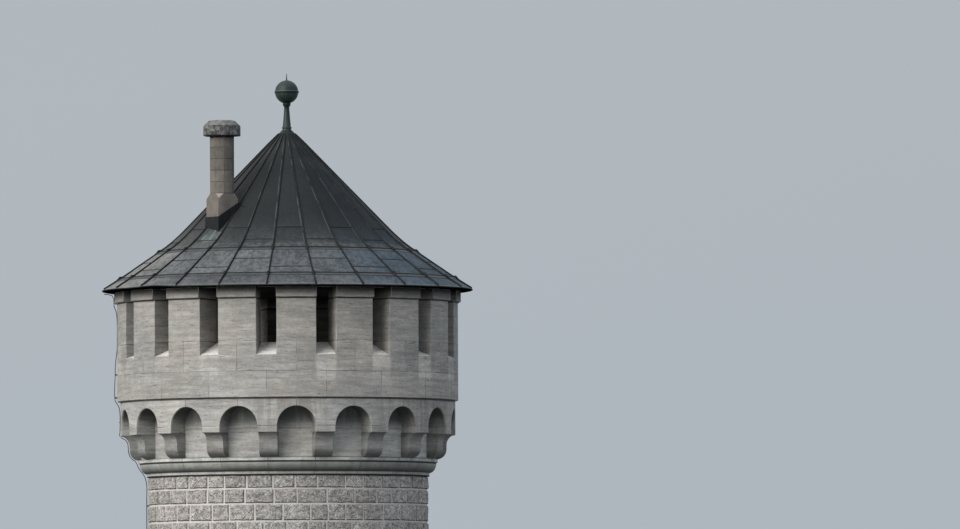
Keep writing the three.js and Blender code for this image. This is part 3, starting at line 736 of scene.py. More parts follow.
def rock_finish():
    finish = Finish("rock_faced_stone")
    tone = finish.attribute("tone")
    along = finish.times(finish.turn(), SHAFT_RADIUS)
    unrolled = finish.vector(along, 0.0, finish.height)
    grit = finish.noise(32, 4, 0.75, 0.0, unrolled)
    pits = finish.noise((20, 20, 24), 3, 0.7, 0.4, unrolled)
    facets = finish.noise((7, 7, 9), 2, 0.5, 0.6, unrolled)
    crystals = finish.band(finish.noise(13, 3, 0.7), 0.35, 0.65)
    own = finish.math("FRACT", finish.times(tone, 5.7))
    hue = finish.plus(finish.times(own, 0.35), finish.times(crystals, 0.65))
    finish.colour = finish.ramp(hue, [(0.0, (0.468, 0.458, 0.422)), (0.5, (0.505, 0.475, 0.445)),
                                      (1.0, (0.525, 0.465, 0.450))])
    finish.fade(tone, 0.0, 1.0, 0.92, 1.08)
    finish.fade(finish.noise(2.4, 4, 0.6), 0.3, 0.7, 0.88, 1.08)
    finish.fade(grit, 0.34, 0.66, 0.66, 1.24)
    finish.fade(pits, 0.36, 0.58, 0.60, 1.10)
    # Painted shade: faces darken by their share, most under each block's undercut and on its sides
    finish.where(finish.attribute("painted_shade"), 0.20)
    slant = finish.times(finish.minus(along, finish.height), 95.0)
    stroke = finish.math("SINE", finish.plus(slant, finish.times(finish.noise(6), 7.0)))
    tooled = finish.times(finish.band(stroke, -0.2, 0.9), finish.band(tone, 0.66, 0.74))
    finish.where(tooled, 1.30)
    finish.fade(facets, 0.36, 0.62, 0.76, 1.15)
    finish.bump(facets, 0.10, 1.0)
    finish.bump(pits, 0.050, 1.0)
    finish.bump(tooled, 0.012, 0.8)
    finish.bump(grit, 0.014, 0.9)
    return finish.done(0.95, 0.2)


def mortar_finish():
    finish = Finish("mortar")
    sand = finish.noise(60, 4, 0.7)
    stains = finish.band(finish.noise(2), 0.35, 0.65)
    finish.colour = finish.mix(stains, (0.53, 0.50, 0.475), (0.64, 0.605, 0.575))
    finish.fade(sand, 0.3, 0.7, 0.88, 1.06)
    # Painted shadow: the mortar just under the cornice is darkened
    finish.fade(finish.height, SHAFT_TOP - 0.034, SHAFT_TOP - 0.020, 1.0, 0.10)
    finish.bump(sand, 0.004, 0.6)
    return finish.done(0.95, 0.2)


def joint_finish(name, share):
    """Mortar of the fine joints, given how light it is."""
    stops = [(0.35, (0.13, 0.126, 0.117)), (0.55, (0.24, 0.232, 0.215)), (0.68, (0.40, 0.385, 0.355))]
    finish = mottled(name, 3, 0.55, stops, 0)
    finish.shade(share)
    return finish.done(0.95, 0.2)


def roof_finish():
    """Weathered sheet metal, dark on the steep cone and chalky on the lower tiers, with painted reflection,
    sheen and shade.
    """
    finish = Finish("roof_sheet")
    lower, upper = SEAM_RADII
    tone = finish.attribute("tone")
    radius = finish.plan_distance()
    east = finish.math("DIVIDE", finish.x, radius)
    back = finish.math("DIVIDE", finish.y, radius)
    flow = finish.noise(26, 5, 0.62, 0.0, finish.vector(east, back, finish.times(radius, 0.05)))
    patches = finish.noise(1.5, 4, 0.62)
    speckle = finish.noise(16, 4, 0.7)
    mottle = finish.noise(8, 4, 0.68)
    # Painted reflection: darker and bluish to the right, as of the blue sky
    right = finish.band(east, 0.25, 0.85)
    dark = finish.mix(finish.band(tone, 0.0, 1.0), (0.012, 0.0155, 0.017), (0.020, 0.024, 0.026))
    dark = finish.mix(right, dark, (0.0075, 0.014, 0.017))
    # Painted sheen: the cone lighter on its left
    dark = finish.mix(finish.band(east, -0.75, -0.15, 0.6, 0.0), dark, (0.034, 0.036, 0.036))
    chalk = finish.mix(finish.band(tone, 0.15, 0.85), (0.104, 0.112, 0.122), (0.140, 0.145, 0.150))
    chalk = finish.mix(right, chalk, (0.066, 0.095, 0.122))
    # Painted sheen: the lower tiers lighter on their left
    chalk = finish.mix(finish.band(east, -0.92, -0.50, 0.85, 0.0), chalk, (0.225, 0.221, 0.210))
    on_sweep = finish.band(radius, 2.1, upper, 0.0, 0.42)
    on_skirt = finish.band(radius, upper - 0.02, upper + 0.03, 0.0, 0.55)
    amount = finish.times(
        finish.plus(on_sweep, on_skirt),
        finish.band(flow, 0.30, 0.66, 0.70, 1.0),
        finish.band(mottle, 0.34, 0.64, 0.62, 1.25),
        finish.band(patches, 0.25, 0.65, 0.55, 1.1),
    )
    finish.colour = finish.mix(amount, dark, chalk)
    finish.fade(speckle, 0.3, 0.7, 0.84, 1.16)
    washed = finish.between(radius, upper - 0.12, upper - 0.018, 0.08)
    finish.tint(finish.times(washed, finish.band(mottle, 0.34, 0.70, 0.05, 0.50)), (0.150, 0.156, 0.152))
    finish.fade(radius, lower + 0.02, lower + 0.25, 0.84, 1.0)
    # Painted sheen: the eave lighter at the sides and darker in the middle
    sides = finish.band(finish.math("ABSOLUTE", east), 0.25, 0.60, -0.13, 0.06)
    finish.shade(finish.plus(finish.times(finish.band(radius, lower + 0.01, lower + 0.03), sides), 1.0))
    finish.where(finish.between(radius, upper + 0.03, lower - 0.01, 0.02), 1.17)
    finish.fade(radius, 0.3, 1.6, 1.25, 1.0)
    # Painted highlight along the eave's edge
    edge = finish.between(radius, EAVE_RADIUS - 0.045, EAVE_RADIUS, 0.01)
    finish.tint(finish.times(edge, 0.30), (0.21, 0.215, 0.21))
    # Painted shade: the eave's rim darkened
    finish.fade(radius, EAVE_RADIUS - 0.012, EAVE_RADIUS - 0.007, 1.0, 0.15)
    to_rib = finish.times(finish.minus(1.0, finish.bay_phase(RIBS, RIB_TURN)), math.tau / RIBS, radius)
    chalked = finish.times(
        finish.between(to_rib, 0.018, 0.038, 0.012),
        finish.between(radius, 0.5, 2.75, 0.2),
        finish.band(finish.noise((3, 3, 1.2)), 0.36, 0.64, 0.0, 0.8),
    )
    finish.tint(chalked, (0.090, 0.095, 0.095))
    spot = finish.plan_distance(*at(*BARE_PATCH, 0)[:2])
    spot = finish.plus(spot, finish.band(finish.noise(7, 4), 0.2, 0.8, -0.10, 0.10))
    bare = finish.times(finish.band(spot, 0.12, 0.26, 1.0, 0.0), finish.band(flow, 0.42, 0.62, 0.1, 0.8))
    finish.tint(bare, (0.175, 0.215, 0.222))
    # Dark line at each ring seam: partly dirt, partly painted shadow of the seam's step
    for seam in SEAM_RADII:
        finish.where(finish.between(radius, seam - 0.014, seam + 0.014, 0.006), 0.25)
    finish.bump(patches, 0.03, 0.25)
    finish.bump(speckle, 0.004, 0.3)
    return finish.done(finish.band(patches, 0.3, 0.7, 0.60, 0.76), 0.25)


def rib_finish():
    stops = [(0.35, (0.006, 0.007, 0.008)), (0.62, (0.013, 0.015, 0.017)), (0.80, (0.045, 0.048, 0.050))]
    return mottled("roof_rib", 6, 0.65, stops).done(0.6, 0.2)


def eave_shadow_finish():
    """Near-black painted shade on the boards under the eave."""
    finish = Finish("eave_painted_shadow")
    finish.colour = finish.mix(finish.noise(6), (0.002, 0.002, 0.002), (0.005, 0.005, 0.005))
    return finish.done(1.0, 0.0)


def strip_finish():
    """The dark strip of sheet folded under each ring seam."""
    finish = mottled("roof_strip", 5, 0.65, [(0.30, (0.034, 0.038, 0.042)), (0.70, (0.072, 0.078, 0.084))])
    radius = finish.plan_distance()
    # Painted shadow: a dark line along each strip's lower edge
    for seam in SEAM_RADII:
        finish.where(finish.between(radius, seam + STRIP - 0.016, seam + STRIP + 0.01, 0.004), 0.50)
    return finish.done(0.55, 0.4)


def lining_finish():
    stops = [(0.3, (0.27, 0.285, 0.272)), (0.7, (0.38, 0.395, 0.372))]
    return mottled("old_boards", (2, 2, 14), 0.6, stops).done(0.85, 0.2)


def soot_finish():
    stops = [(0.3, (0.075, 0.080, 0.075)), (0.7, (0.135, 0.138, 0.128))]
    return mottled("sooty_stone", 6, 0.6, stops, 0.006).done(0.95, 0.2)


def chimney_finish(name, share):
    """Weathered stone of the chimney, given how light it is."""
    finish = Finish(name)
    clouds = finish.noise(5, 4, 0.6)
    fine = finish.noise(40, 3, 0.7)
    stops = [(0.0, (0.120, 0.110, 0.095)), (0.6, (0.138, 0.124, 0.108)), (1.0, (0.160, 0.141, 0.124))]
    finish.colour = finish.ramp(finish.attribute("tone"), stops)
    finish.fade(clouds, 0.3, 0.7, 0.82, 1.08)
    finish.fade(fine, 0.3, 0.7, 0.90, 1.08)
    # Lightness share below, and a painted shadow just under the cap
    cap_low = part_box("chimney_cap")[0].z
    finish.fade(finish.height, cap_low - 0.055, cap_low - 0.035, share, 0.12)
    finish.bump(clouds, 0.008, 0.3)
    finish.bump(fine, 0.004, 0.5)
    return finish.done(0.92, 0.25)


def lichen_finish():
    """Cap stone grown over with black, pale and yellow-green lichen."""
    finish = Finish("chimney_cap_stone")
    crust = finish.noise(11, 5, 0.7)
    spots = finish.noise(24, 4, 0.7)
    low, high = (corner.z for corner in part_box("chimney_cap"))
    finish.colour = finish.ramp(crust, [(0.36, (0.034, 0.035, 0.034)), (0.48, (0.095, 0.095, 0.092)),
                                        (0.60, (0.200, 0.196, 0.188)), (0.72, (0.290, 0.284, 0.27))])
    finish.fade(spots, 0.35, 0.62, 0.60, 1.15)
    top = finish.band(finish.height, high - CAP_BEVEL - 0.01, high - CAP_BEVEL + 0.03)
    moss = finish.band(finish.noise(6, 3, 0.6), 0.38, 0.62, 0.35, 0.85)
    finish.tint(finish.times(top, moss), (0.215, 0.213, 0.205))
    # Painted shade along the cap's lower edge
    finish.fade(finish.height, low + 0.01, low + 0.03, 0.30, 1.0)
    finish.bump(crust, 0.015, 0.6)
    finish.bump(spots, 0.006, 0.6)
    return finish.done(0.95, 0.2)


def finial_finish():
    finish = Finish("finial_metal")
    stain = finish.noise((9, 9, 5), 4, 0.6)
    height = finish.height
    middle = BALL_BAND_LEVEL
    finish.colour = finish.ramp(stain, [(0.30, (0.017, 0.029, 0.026)), (0.70, (0.034, 0.049, 0.045))])
    finish.tint(finish.band(height, middle + 0.02, middle + 0.26, 0.0, 0.18), (0.080, 0.088, 0.085))
    finish.where(finish.between(height, BALL_LOW + 0.06, middle - 0.04, 0.02), 1.18)
    # Painted highlight on the top of the band's roll
    rim = finish.between(height, middle + 0.008, middle + 0.028, 0.006)
    finish.tint(finish.times(rim, 0.55), (0.11, 0.12, 0.12))
    # Painted shadow just below the band
    finish.where(finish.between(height, middle - 0.030, middle - 0.004, 0.006), 0.35)
    finish.fade(height, STEM_LOW + 0.10, STEM_TOP - 0.10, 1.15, 0.9)
    # Painted shadow on the neck under the ball
    finish.where(finish.between(height, STEM_LOW + 0.53, STEM_TOP + 0.03, 0.015), 0.40)
    finish.bump(stain, 0.004, 0.3)
    return finish.done(finish.band(stain, 0.3, 0.7, 0.42, 0.6), 0.4, 0.25)


def flashing_finish():
    stops = [(0.30, (0.006, 0.0072, 0.0088)), (0.70, (0.012, 0.0143, 0.0165))]
    return mottled("flashing_metal", (7, 7, 3), 0.62, stops, 0.006).done(0.65, 0.25)


def wire_finish():
    stops = [(0.35, (0.025, 0.026, 0.030)), (0.70, (0.060, 0.055, 0.058))]
    return mottled("conductor_metal", (14, 14, 3), 0.6, stops, 0.002).done(0.6, 0.4, 0.3)


def with_margins(length, first, last):
    """Places along a block's side: its two margins, and even steps between them."""
    steps = max(2, round((length - first - last) / ROCK_CELL))
    inner = [first + (length - first - last) * i / steps for i in range(steps + 1)]
    return [0.0, *inner, length]


def rock_block(bundle, first, last, low, high, tone):
    """One rock-faced block: an uneven rim, and a rough face that stands out from it."""
    wide, tall = math.radians(last - first) * SHAFT_RADIUS, high - low
    across = with_margins(wide, ROCK_MARGIN, ROCK_MARGIN)
    upward = with_margins(tall, ROCK_UNDERCUT, ROCK_MARGIN)
    columns, rows = len(across) - 1, len(upward) - 1
    rise = dice.uniform(*ROCK_RISE)
    swell = dice.uniform(0.0, ROCK_SWELL)
    rough = dice.uniform(*ROCK_ROUGH)
    lean = dice.uniform(*ROCK_LEAN)
    seed = Vector((dice.uniform(0, 99), dice.uniform(0, 99), dice.uniform(0, 99)))
    aside = Vector((31, 0, 0))
    turns = [first + (last - first) * along / wide for along in across]
    points = []
    for i, along in enumerate(across):
        for j, up in enumerate(upward):
            here = Vector(at(SHAFT_RADIUS, turns[i], low + up)) * ROCK_GRAIN + seed
            out = 0.0
            if 0 < i < columns and 0 < j < rows:
                bulge = (1 - (2 * along / wide - 1) ** 2) * (1 - (2 * up / tall - 1) ** 2)
                out = rise + swell * bulge + lean * (2 * up / tall - 1)
                out += rough * noise.noise(here) + 0.6 * rough * noise.noise(here * 2.1)
                out = max(ROCK_LEAST, min(ROCK_MOST, out))
            angle = turns[i] + math.degrees(RAGGED * noise.noise(here * 0.9 + aside) / SHAFT_RADIUS)
            height = low + up + RAGGED * noise.noise(here * 0.9 - aside)
            points.append(at(RIM_RADIUS + out, angle, max(SHAFT_LOW, height)))
    back = len(points)
    points += [at(ROOT_RADIUS, angle, height) for angle in turns for height in (low, high)]

    def front(i, j):
        return i * (rows + 1) + j

    # Each face's share of painted shade: full under the undercut, less on the sides and on the faces
    # towards the mortar
    faces, painted_shades = [], []
    for i in range(columns):
        for j in range(rows):
            faces.append([front(i, j), front(i + 1, j), front(i + 1, j + 1), front(i, j + 1)])
            beside = 0.35 if i in (0, columns - 1) else 0.0
            painted_shades.append(1.0 if j == 0 else beside)
        lower, upper = back + 2 * i, back + 2 * i + 1
        faces.append([front(i + 1, 0), front(i, 0), lower, lower + 2])
        faces.append([front(i, rows), front(i + 1, rows), upper + 2, upper])
        faces.append([lower, upper, upper + 2, lower + 2])
        painted_shades += [1.0, 0.3, 0.5]
    left = [front(0, j) for j in range(rows + 1)]
    right = [front(columns, j) for j in reversed(range(rows + 1))]
    faces.append(left + [back + 1, back])
    faces.append(right + [back + 2 * columns, back + 2 * columns + 1])
    painted_shades += [0.5, 0.8]
    bundle.add(points, faces, tone, 0, painted_shades)


def course_levels():
    """Bed levels of the shaft from the cornice down to the ground."""
    levels = [SHAFT_TOP]
    for height in TOP_COURSES:
        levels.append(levels[-1] - height)
    while levels[-1] > SHAFT_LOW + COURSE_RANGE[1] * 1.5:
        levels.append(levels[-1] - dice.uniform(*COURSE_RANGE))
    left = levels[-1] - SHAFT_LOW
    if left > COURSE_RANGE[1]:
        levels.append(SHAFT_LOW + left / 2)
    levels.append(SHAFT_LOW)
    return levels


def make_shaft(materials):
    bundles = new_bundles()
    levels = course_levels()
    shortest, longest = (math.degrees(length / SHAFT_RADIUS) for length in BLOCK_RANGE)
    half = math.degrees(SHAFT_JOINT / 2 / SHAFT_RADIUS)
    for high, low in zip(levels, levels[1:]):
        start = dice.uniform(0, 20)
        angle = start
        while angle < start + 360 - 1e-6:
            turn = dice.uniform(shortest, longest)
            left = start + 360 - angle
            if left < turn + shortest:
                turn = left if left < longest else left / 2
            bundle = bundles[sector_of(angle + turn / 2, BAY / 2)]
            foot = low if low == SHAFT_LOW else low + SHAFT_JOINT / 2
            head = high - SHAFT_JOINT / 2
            rock_block(bundle, angle + half, angle + turn - half, foot, head, dice.random())
            angle += turn
    core = [(WALL_INNER_RADIUS, SHAFT_LOW), (MORTAR_RADIUS, SHAFT_LOW),
            (MORTAR_RADIUS, SHAFT_TOP), (WALL_INNER_RADIUS, SHAFT_TOP)]
    for turn, bundle in enumerate(bundles):
        first = BAY / 2 + turn * 360 / SECTORS
        bundle.add(*swept(core, spread(first, first + 360 / SECTORS)), 0.5, 1)
    set_sectors(bundles, "shaft_wall", "shaft_blocks", "rough_stone", materials, 0.0)


def make_cornice(materials):
    foot, ovolo = CORNICE_LOW + CORNICE_FOOT, CORNICE_LOW + OVOLO_TOP
    profile = [(WALL_INNER_RADIUS, CORNICE_LOW), (CORNICE_FOOT_RADIUS, CORNICE_LOW)]
    profile.append((CORNICE_FOOT_RADIUS, foot))
    profile += arc((OVOLO_INNER, ovolo), (OVOLO_OUTER - OVOLO_INNER, OVOLO_TOP - CORNICE_FOOT), -90, 0, 8)
    profile += [(CORNICE_RADIUS, ovolo), (CORNICE_RADIUS, CORNICE_TOP), (WALL_INNER_RADIUS, CORNICE_TOP)]
    bundles = new_bundles()
    step, uneven = 360 / CORNICE_STONES, CORNICE_UNEVEN
    joints = [step * k + dice.uniform(-uneven, uneven) * step for k in range(CORNICE_STONES)]
    joints.append(joints[0] + 360)
    for first, last in zip(joints, joints[1:]):
        bundle = bundles[sector_of((first + last) / 2, 0)]
        bundle.add(*swept(profile, spread(first, last)), dice.random())
    set_sectors(bundles, "cornice", "cornice_stones", "smooth_stone", materials)


def make_corbel_wall(materials):
    bundles = new_bundles()
    bands = ((CORNICE_TOP, DRUM_JOINT, 0), (DRUM_JOINT, ARCH_TOP, BAY / 2))
    for k in range(BAYS):
        for low, high, shift in bands:
            first = k * BAY + shift
            bundle = bundles[sector_of(first + BAY / 2, BAY / 2)]
            stone = course_stone((WALL_INNER_RADIUS, DRUM_RADIUS), spread(first, first + BAY), low, high)
            bundle.add(*stone, dice.random())
    round_part = arc((CORBEL_FOOT, CORNICE_TOP + CORBEL_ROUND_TOP),
                     (CORBEL_NECK - CORBEL_FOOT, CORBEL_ROUND_TOP), -90, 0, 9)
    hollow = arc((CORBEL_REACH, CORNICE_TOP + CORBEL_HOLLOW_FOOT),
                 (CORBEL_REACH - CORBEL_NECK, ARCH_LOW - CORNICE_TOP - CORBEL_HOLLOW_FOOT), 180, 90, 9)
    outline = [(CORBEL_ROOT, CORNICE_TOP), *round_part, *hollow, (CORBEL_ROOT, ARCH_LOW)]
    half = CORBEL_WIDTH / 2
    for k in range(BAYS):
        bundle = bundles[sector_of(k * BAY + 1, BAY / 2)]
        bundle.add(*slab(outline, [-half, 0, half], k * BAY), dice.random(), 1)
    set_sectors(bundles, "corbel_wall", "corbel_stones", "smooth_stone", materials)


def make_arches(materials):
    radii = (DRUM_RADIUS, ARCH_RADIUS_OUT)
    bundles = new_bundles()
    quarter = []
    for i in range(ARCH_STEPS + 1):
        turn = math.pi / 2 * (1 - i / ARCH_STEPS)
        reach = math.degrees(math.atan(ARCH_RADIUS * math.cos(turn) / ARCH_RADIUS_OUT))
        quarter.append((reach, SPRINGING + ARCH_RADIUS * math.sin(turn)))
    for k in range(BAYS):
        middle = k * BAY
        left = [(middle - BAY / 2 + reach, height) for reach, height in quarter]
        right = [(2 * middle - angle, height) for angle, height in reversed(left)]
        pier = spread(left[-1][0], right[0][0])
        columns = left + [(angle, SPRINGING) for angle in pier[1:-1]] + right
        edges = [angle for angle, _ in columns]

        def level(i, j, side):
            return ARCH_TOP if j else columns[i][1]

        bundle = bundles[sector_of(middle + 1, BAY / 2)]
        bundle.add(*cells(radii, edges, level, [[True]] * (len(edges) - 1)), dice.random())
        bundle.add(*course_stone(radii, pier, ARCH_LOW, SPRINGING), dice.random())
    set_sectors(bundles, "arch_ring", "arch_stones", "smooth_stone", materials)


def make_parapet(materials):
    radii = (PARAPET_INNER_RADIUS, PARAPET_RADIUS)
    bundles = new_bundles()

    def level(i, j, side):
        return (LOWER_COURSE_TOP, (SILL_INNER, SILL_OUTER)[side], MERLON_BED)[j]

    for k in range(BAYS):
        crenel = k * BAY
        merlon = crenel + BAY / 2
        bundle = bundles[sector_of(crenel + 1, 0)]
        stone = course_stone(radii, spread(crenel, crenel + BAY), PARAPET_LOW, LOWER_COURSE_TOP)
        bundle.add(*stone, dice.random())
        jambs = [jamb(crenel, offset) for offset in (-CRENEL_HALF, 0, CRENEL_HALF)]
        wing = spread(crenel - BAY / 2, crenel - CRENEL_TURN)
        edges = wing + jambs + [2 * crenel - angle for angle in reversed(wing)]
        filled = [[True, not len(wing) <= i <= len(wing) + 1] for i in range(len(edges) - 1)]
        bundle.add(*cells(radii, edges, level, filled), dice.random(), 0, None, 1)
        face = spread(merlon - MERLON_TURN, merlon + MERLON_TURN)
        sides = [jamb(crenel, CRENEL_HALF), *face, jamb(crenel + BAY, -CRENEL_HALF)]
        bundle.add(*course_stone(radii, sides, MERLON_BED, CAP_LOW), dice.random())
        cap = course_stone((PARAPET_INNER_RADIUS, CAP_RADIUS), sides, CAP_LOW, PARAPET_TOP)
        bundle.add(*cap, dice.random())
    set_sectors(bundles, "parapet", "parapet_stones", "smooth_stone", materials)


def sweep_line(steps):
    """The bell-cast curve from the upper seam to the straight cone."""
    low_slope = (UPPER_SEAM[1] - LOWER_SEAM[1]) / (LOWER_SEAM[0] - UPPER_SEAM[0])
    high_slope = (CONE_TOP[1] - SWEEP_END[1]) / (SWEEP_END[0] - CONE_TOP[0])
    pull = (UPPER_SEAM[0] - SWEEP_END[0]) * SWEEP_PULL
    first = (UPPER_SEAM[0] - pull, UPPER_SEAM[1] + pull * low_slope)
    second = (SWEEP_END[0] + pull, SWEEP_END[1] - pull * high_slope)
    line = []
    for i in range(steps + 1):
        t = i / steps
        weights = ((1 - t) ** 3, 3 * t * (1 - t) ** 2, 3 * t * t * (1 - t), t ** 3)
        corners = (UPPER_SEAM, first, second, SWEEP_END)
        line.append(tuple(sum(w * c[axis] for w, c in zip(weights, corners)) for axis in (0, 1)))
    return line


def roof_paths():
    """The outside line of each tier, from its low end to its high end, as (radius, level)."""
    eave = straight((EAVE_RADIUS - EAVE_INSET, EAVE_TIP + EAVE_EDGE), LOWER_SEAM, 6)
    skirt = straight(LOWER_SEAM, UPPER_SEAM, 16)
    cone = sweep_line(8) + straight(SWEEP_END, CONE_TOP, 24)[1:]
    return [[(r, EAVE_LOW + z) for r, z in path] for path in (eave, skirt, cone)]


def sheet_wave(x, y, z):
    """How far the old sheet has bulged or sagged at a place."""
    here = Vector((x, y, z))
    return SHEET_BULGE * noise.noise(here * 1.9) + SHEET_RIPPLE * noise.noise(here * 5.1) - SHEET_SINK


def eave_lift(x, y):
    """How far the eave's edge has been bent up or down."""
    turn = (math.degrees(math.atan2(x, -y)) - CAMERA_AZIMUTH + 180) % 360 - 180
    kink = EAVE_KINK * math.exp(-((turn - EAVE_KINK_TURN) / EAVE_KINK_SPREAD) ** 2)
    return -EAVE_SAG + EAVE_RISE * math.sin(math.radians(turn)) ** 4 + kink


def sheet_tier(path, underside, seams):
    """One tier of sheets over boards. Sheets bulge a little, and a cross seam steps between two of them."""
    columns = RIBS * PANEL_STEPS
    runs = len(path) - 1
    size = len(path) + len(underside)
    points = []
    for k in range(columns):
        angle = RIB_TURN + 360 * k / columns
        seam = seams[k // PANEL_STEPS % 2]
        for i, (r, z) in enumerate(path):
            x, y, _ = at(r, angle, z)
            lap = SHEET_LAP if i / runs > seam + 0.01 else 0.0
            points.append((x, y, z + sheet_wave(x, y, z) + lap))
        points += [at(r, angle, z) for r, z in underside]
        if path[0][0] > LOWER_SEAM[0] + 0.1:
            for tip in (k * size, k * size + size - 1):
                x, y, z = points[tip]
                points[tip] = (x, y, z + eave_lift(x, y))
    bundle = Bundle()
    bundle.add(points, skin(size, columns, True))
    tones = {}
    for face in range(columns * size):
        k, p = divmod(face, size)
        panel = k // PANEL_STEPS
        outside = p < runs
        above = outside and (p + 0.5) / runs > seams[panel % 2]
        if (panel, above) not in tones:
            tones[panel, above] = dice.random()
        if outside:
            bundle.tones[face] = tones[panel, above]
        elif p < size - 1:
            bundle.finishes[face] = 1
    return bundle


def on_path(path, radius):
    """Level of a roof line at a radius."""
    for (r0, z0), (r1, z1) in zip(path, path[1:]):
        if r1 <= radius <= r0:
            return z0 + (z1 - z0) * (r0 - radius) / (r0 - r1)
    return path[-1][1]


def batten(bundle, line, halves, highs):
    """A rounded ridge along a line of points, given its half width and height at each."""
    rings = []
    for i, here in enumerate(line):
        ahead = line[min(i + 1, len(line) - 1)]
        behind = line[max(i - 1, 0)]
        side = Vector((ahead.y - behind.y, behind.x - ahead.x, 0)).normalized()
        rings.append([tuple(here + side * across * halves[i] + Vector((0, 0, up * highs[i])))
                      for across, up in RIB_SECTION])
    bundle.add(*lofted(rings))


def rib_along(bundle, path, angle):
    """A roll down the roof, with a swelling just below each ring seam."""
    line, halves, highs = [], [], []
    for r, z in path:
        near = min(abs(r - seam - KNOT_BELOW) for seam in SEAM_RADII)
        knot = KNOT * math.exp(-(near / KNOT_SPREAD) ** 2)
        crowd = min(1.0, r / RIB_CROWDING)
        line.append(Vector(at(r, angle, z)))
        halves.append(RIB_HALF * crowd * (1 + 1.5 * knot))
        highs.append(RIB_HEIGHT * crowd ** 0.7 * (1 + knot))
    batten(bundle, line, halves, highs)


def lip_across(bundle, path, share, panel):
    """The folded lip of a cross seam, from one rib to the next."""
    place = share * (len(path) - 1)
    i = int(place)
    foot, head = Vector(path[i]), Vector(path[i + 1])
    middle = foot.lerp(head, place - i)
    run = (head - foot).normalized()
    off = Vector((run.y, -run.x))
    profile = [tuple(middle + run * a + off * b) for a, b in LIP]
    first = RIB_TURN + panel * RIB_BAY
    bundle.add(*swept(profile, spread(first, first + RIB_BAY, RIB_BAY / PANEL_STEPS), sheet_wave))


def densified(path):
    """Adds points to a path near the ring seams, so that the ribs' knots there come out round."""
    radii = {r for r, _ in path}
    for seam in SEAM_RADII:
        radii |= {seam + KNOT_REACH * i / KNOT_STEPS for i in range(-2, KNOT_STEPS + 1)}
    return [(r, on_path(path, r)) for r in sorted(radii, reverse=True) if r <= path[0][0]]


def make_roof(sheet, rib, strip, shadow, boards):
    eave, skirt, cone = roof_paths()
    back = LOWER_SEAM[0] - SOFFIT_INSET
    soffit = [(back, eave[-1][1] - SOFFIT_DEPTH), (back, EAVE_LOW),
              (CAP_RADIUS, EAVE_LOW), (EAVE_RADIUS - EAVE_INSET, EAVE_LOW + EAVE_TIP)]
    inner = [(r, z - ROOF_DEPTH) for r, z in reversed(skirt[::8])]
    lining = [(TOP_HOLE, cone[-1][1]), (TOP_HOLE, cone[-1][1] - TOP_DEPTH)]
    lining += [(r, z - ROOF_DEPTH) for r, z in reversed(cone[:-1:5])]
    tiers = (
        ("roof_eave", eave, soffit, NO_SEAMS, shadow),
        ("roof_skirt", skirt, inner, SKIRT_SEAMS, boards),
        ("roof_cone", cone, lining, CONE_SEAMS, boards),
    )
    ribs = Bundle()
    for node, path, underside, seams, under in tiers:
        bundle = sheet_tier(path, underside, seams)
        bundle.piece(f"{node}_sheets", "roof_metal", [sheet, under], [node], 0.0, 40.0)
        if seams != NO_SEAMS:
            for panel in range(RIBS):
                lip_across(ribs, path, seams[panel % 2], panel)
    line = [place for place in densified(eave + skirt[1:] + cone[1:]) if place[0] > RIB_TOP]
    for k in range(RIBS):
        rib_along(ribs, line, RIB_TURN + k * RIB_BAY)
    places = straight(*CRICKET_SEAM, CRICKET_STEPS)
    seam = [Vector(at(r, turn, on_path(cone, r) - CRICKET_SINK)) for r, turn in places]
    batten(ribs, seam, [CRICKET_HALF] * len(seam), [CRICKET_HEIGHT] * len(seam))
    ribs.piece("roof_ribs", "roof_metal", [rib], (), 0.0, 50.0)
    rings = Bundle()
    for (r, z), path in ((LOWER_SEAM, eave), (UPPER_SEAM, skirt)):
        z += EAVE_LOW
        edge, low = r + STRIP, on_path(path, r + STRIP)
        section = [(r, z - STRIP_UNDER), (edge, low - STRIP_UNDER)]
        section += [(edge, low + STRIP_OVER), (r, z + STRIP_OVER)]
        rings.add(*swept(section, spread(0, 360)), 0.5, 1)
        roll = arc((r + SEAM_ROLL_OUT, z - SEAM_ROLL_DROP), (SEAM_ROLL, SEAM_ROLL), 0, 315, 7)
        rings.add(*swept(roll, spread(0, 360)))
    rings.piece("roof_ring_seams", "roof_metal", [rib, strip], (), 0.0, 40.0)


def round_points(reach):
    """Ring of points about a centre, given how far out each lies as a function of its angle."""
    angles = [math.tau * i / CHIMNEY_POINTS for i in range(CHIMNEY_POINTS)]
    return [(reach(angle) * math.cos(angle), reach(angle) * math.sin(angle)) for angle in angles]


def circle(radius):
    return round_points(lambda angle: radius)


def square(side):
    return round_points(lambda angle: side / 2 / max(abs(math.cos(angle)), abs(math.sin(angle))))


def octagon(flats):
    eighth = math.pi / 4
    return round_points(lambda angle: flats / 2 / math.cos((angle + eighth / 2) % eighth - eighth / 2))


def raised(outline, height):
    """Outline in the chimney's own directions, set at its place and at a height."""
    turn = Matrix.Rotation(math.radians(CHIMNEY_TURN), 2)
    ring = []
    for point in outline:
        x, y = turn @ Vector(point)
        ring.append((x + CHIMNEY_PLACE[0], y + CHIMNEY_PLACE[1], height))
    return ring


def pierced(outer, heights):
    """Stone with the flue through it, given its outer outlines at heights."""
    rings = [raised(outline, height) for outline, height in zip(outer, heights)]
    rings += [raised(circle(FLUE_RADIUS), height) for height in (heights[-1], heights[0])]
    return lofted(rings, True)


def creased(points, faces):
    """Splits each bent face with four corners along the fold that stands out from the solid."""
    split = []
    for face in faces:
        a, b, c, d = face
        first, second, third, last = (Vector(points[corner]) for corner in face)
        depth = (second - first).cross(third - first).dot(last - first)
        if depth < 0:
            split += [[a, b, c], [a, c, d]]
        else:
            split += [[b, c, d], [b, d, a]]
    return split


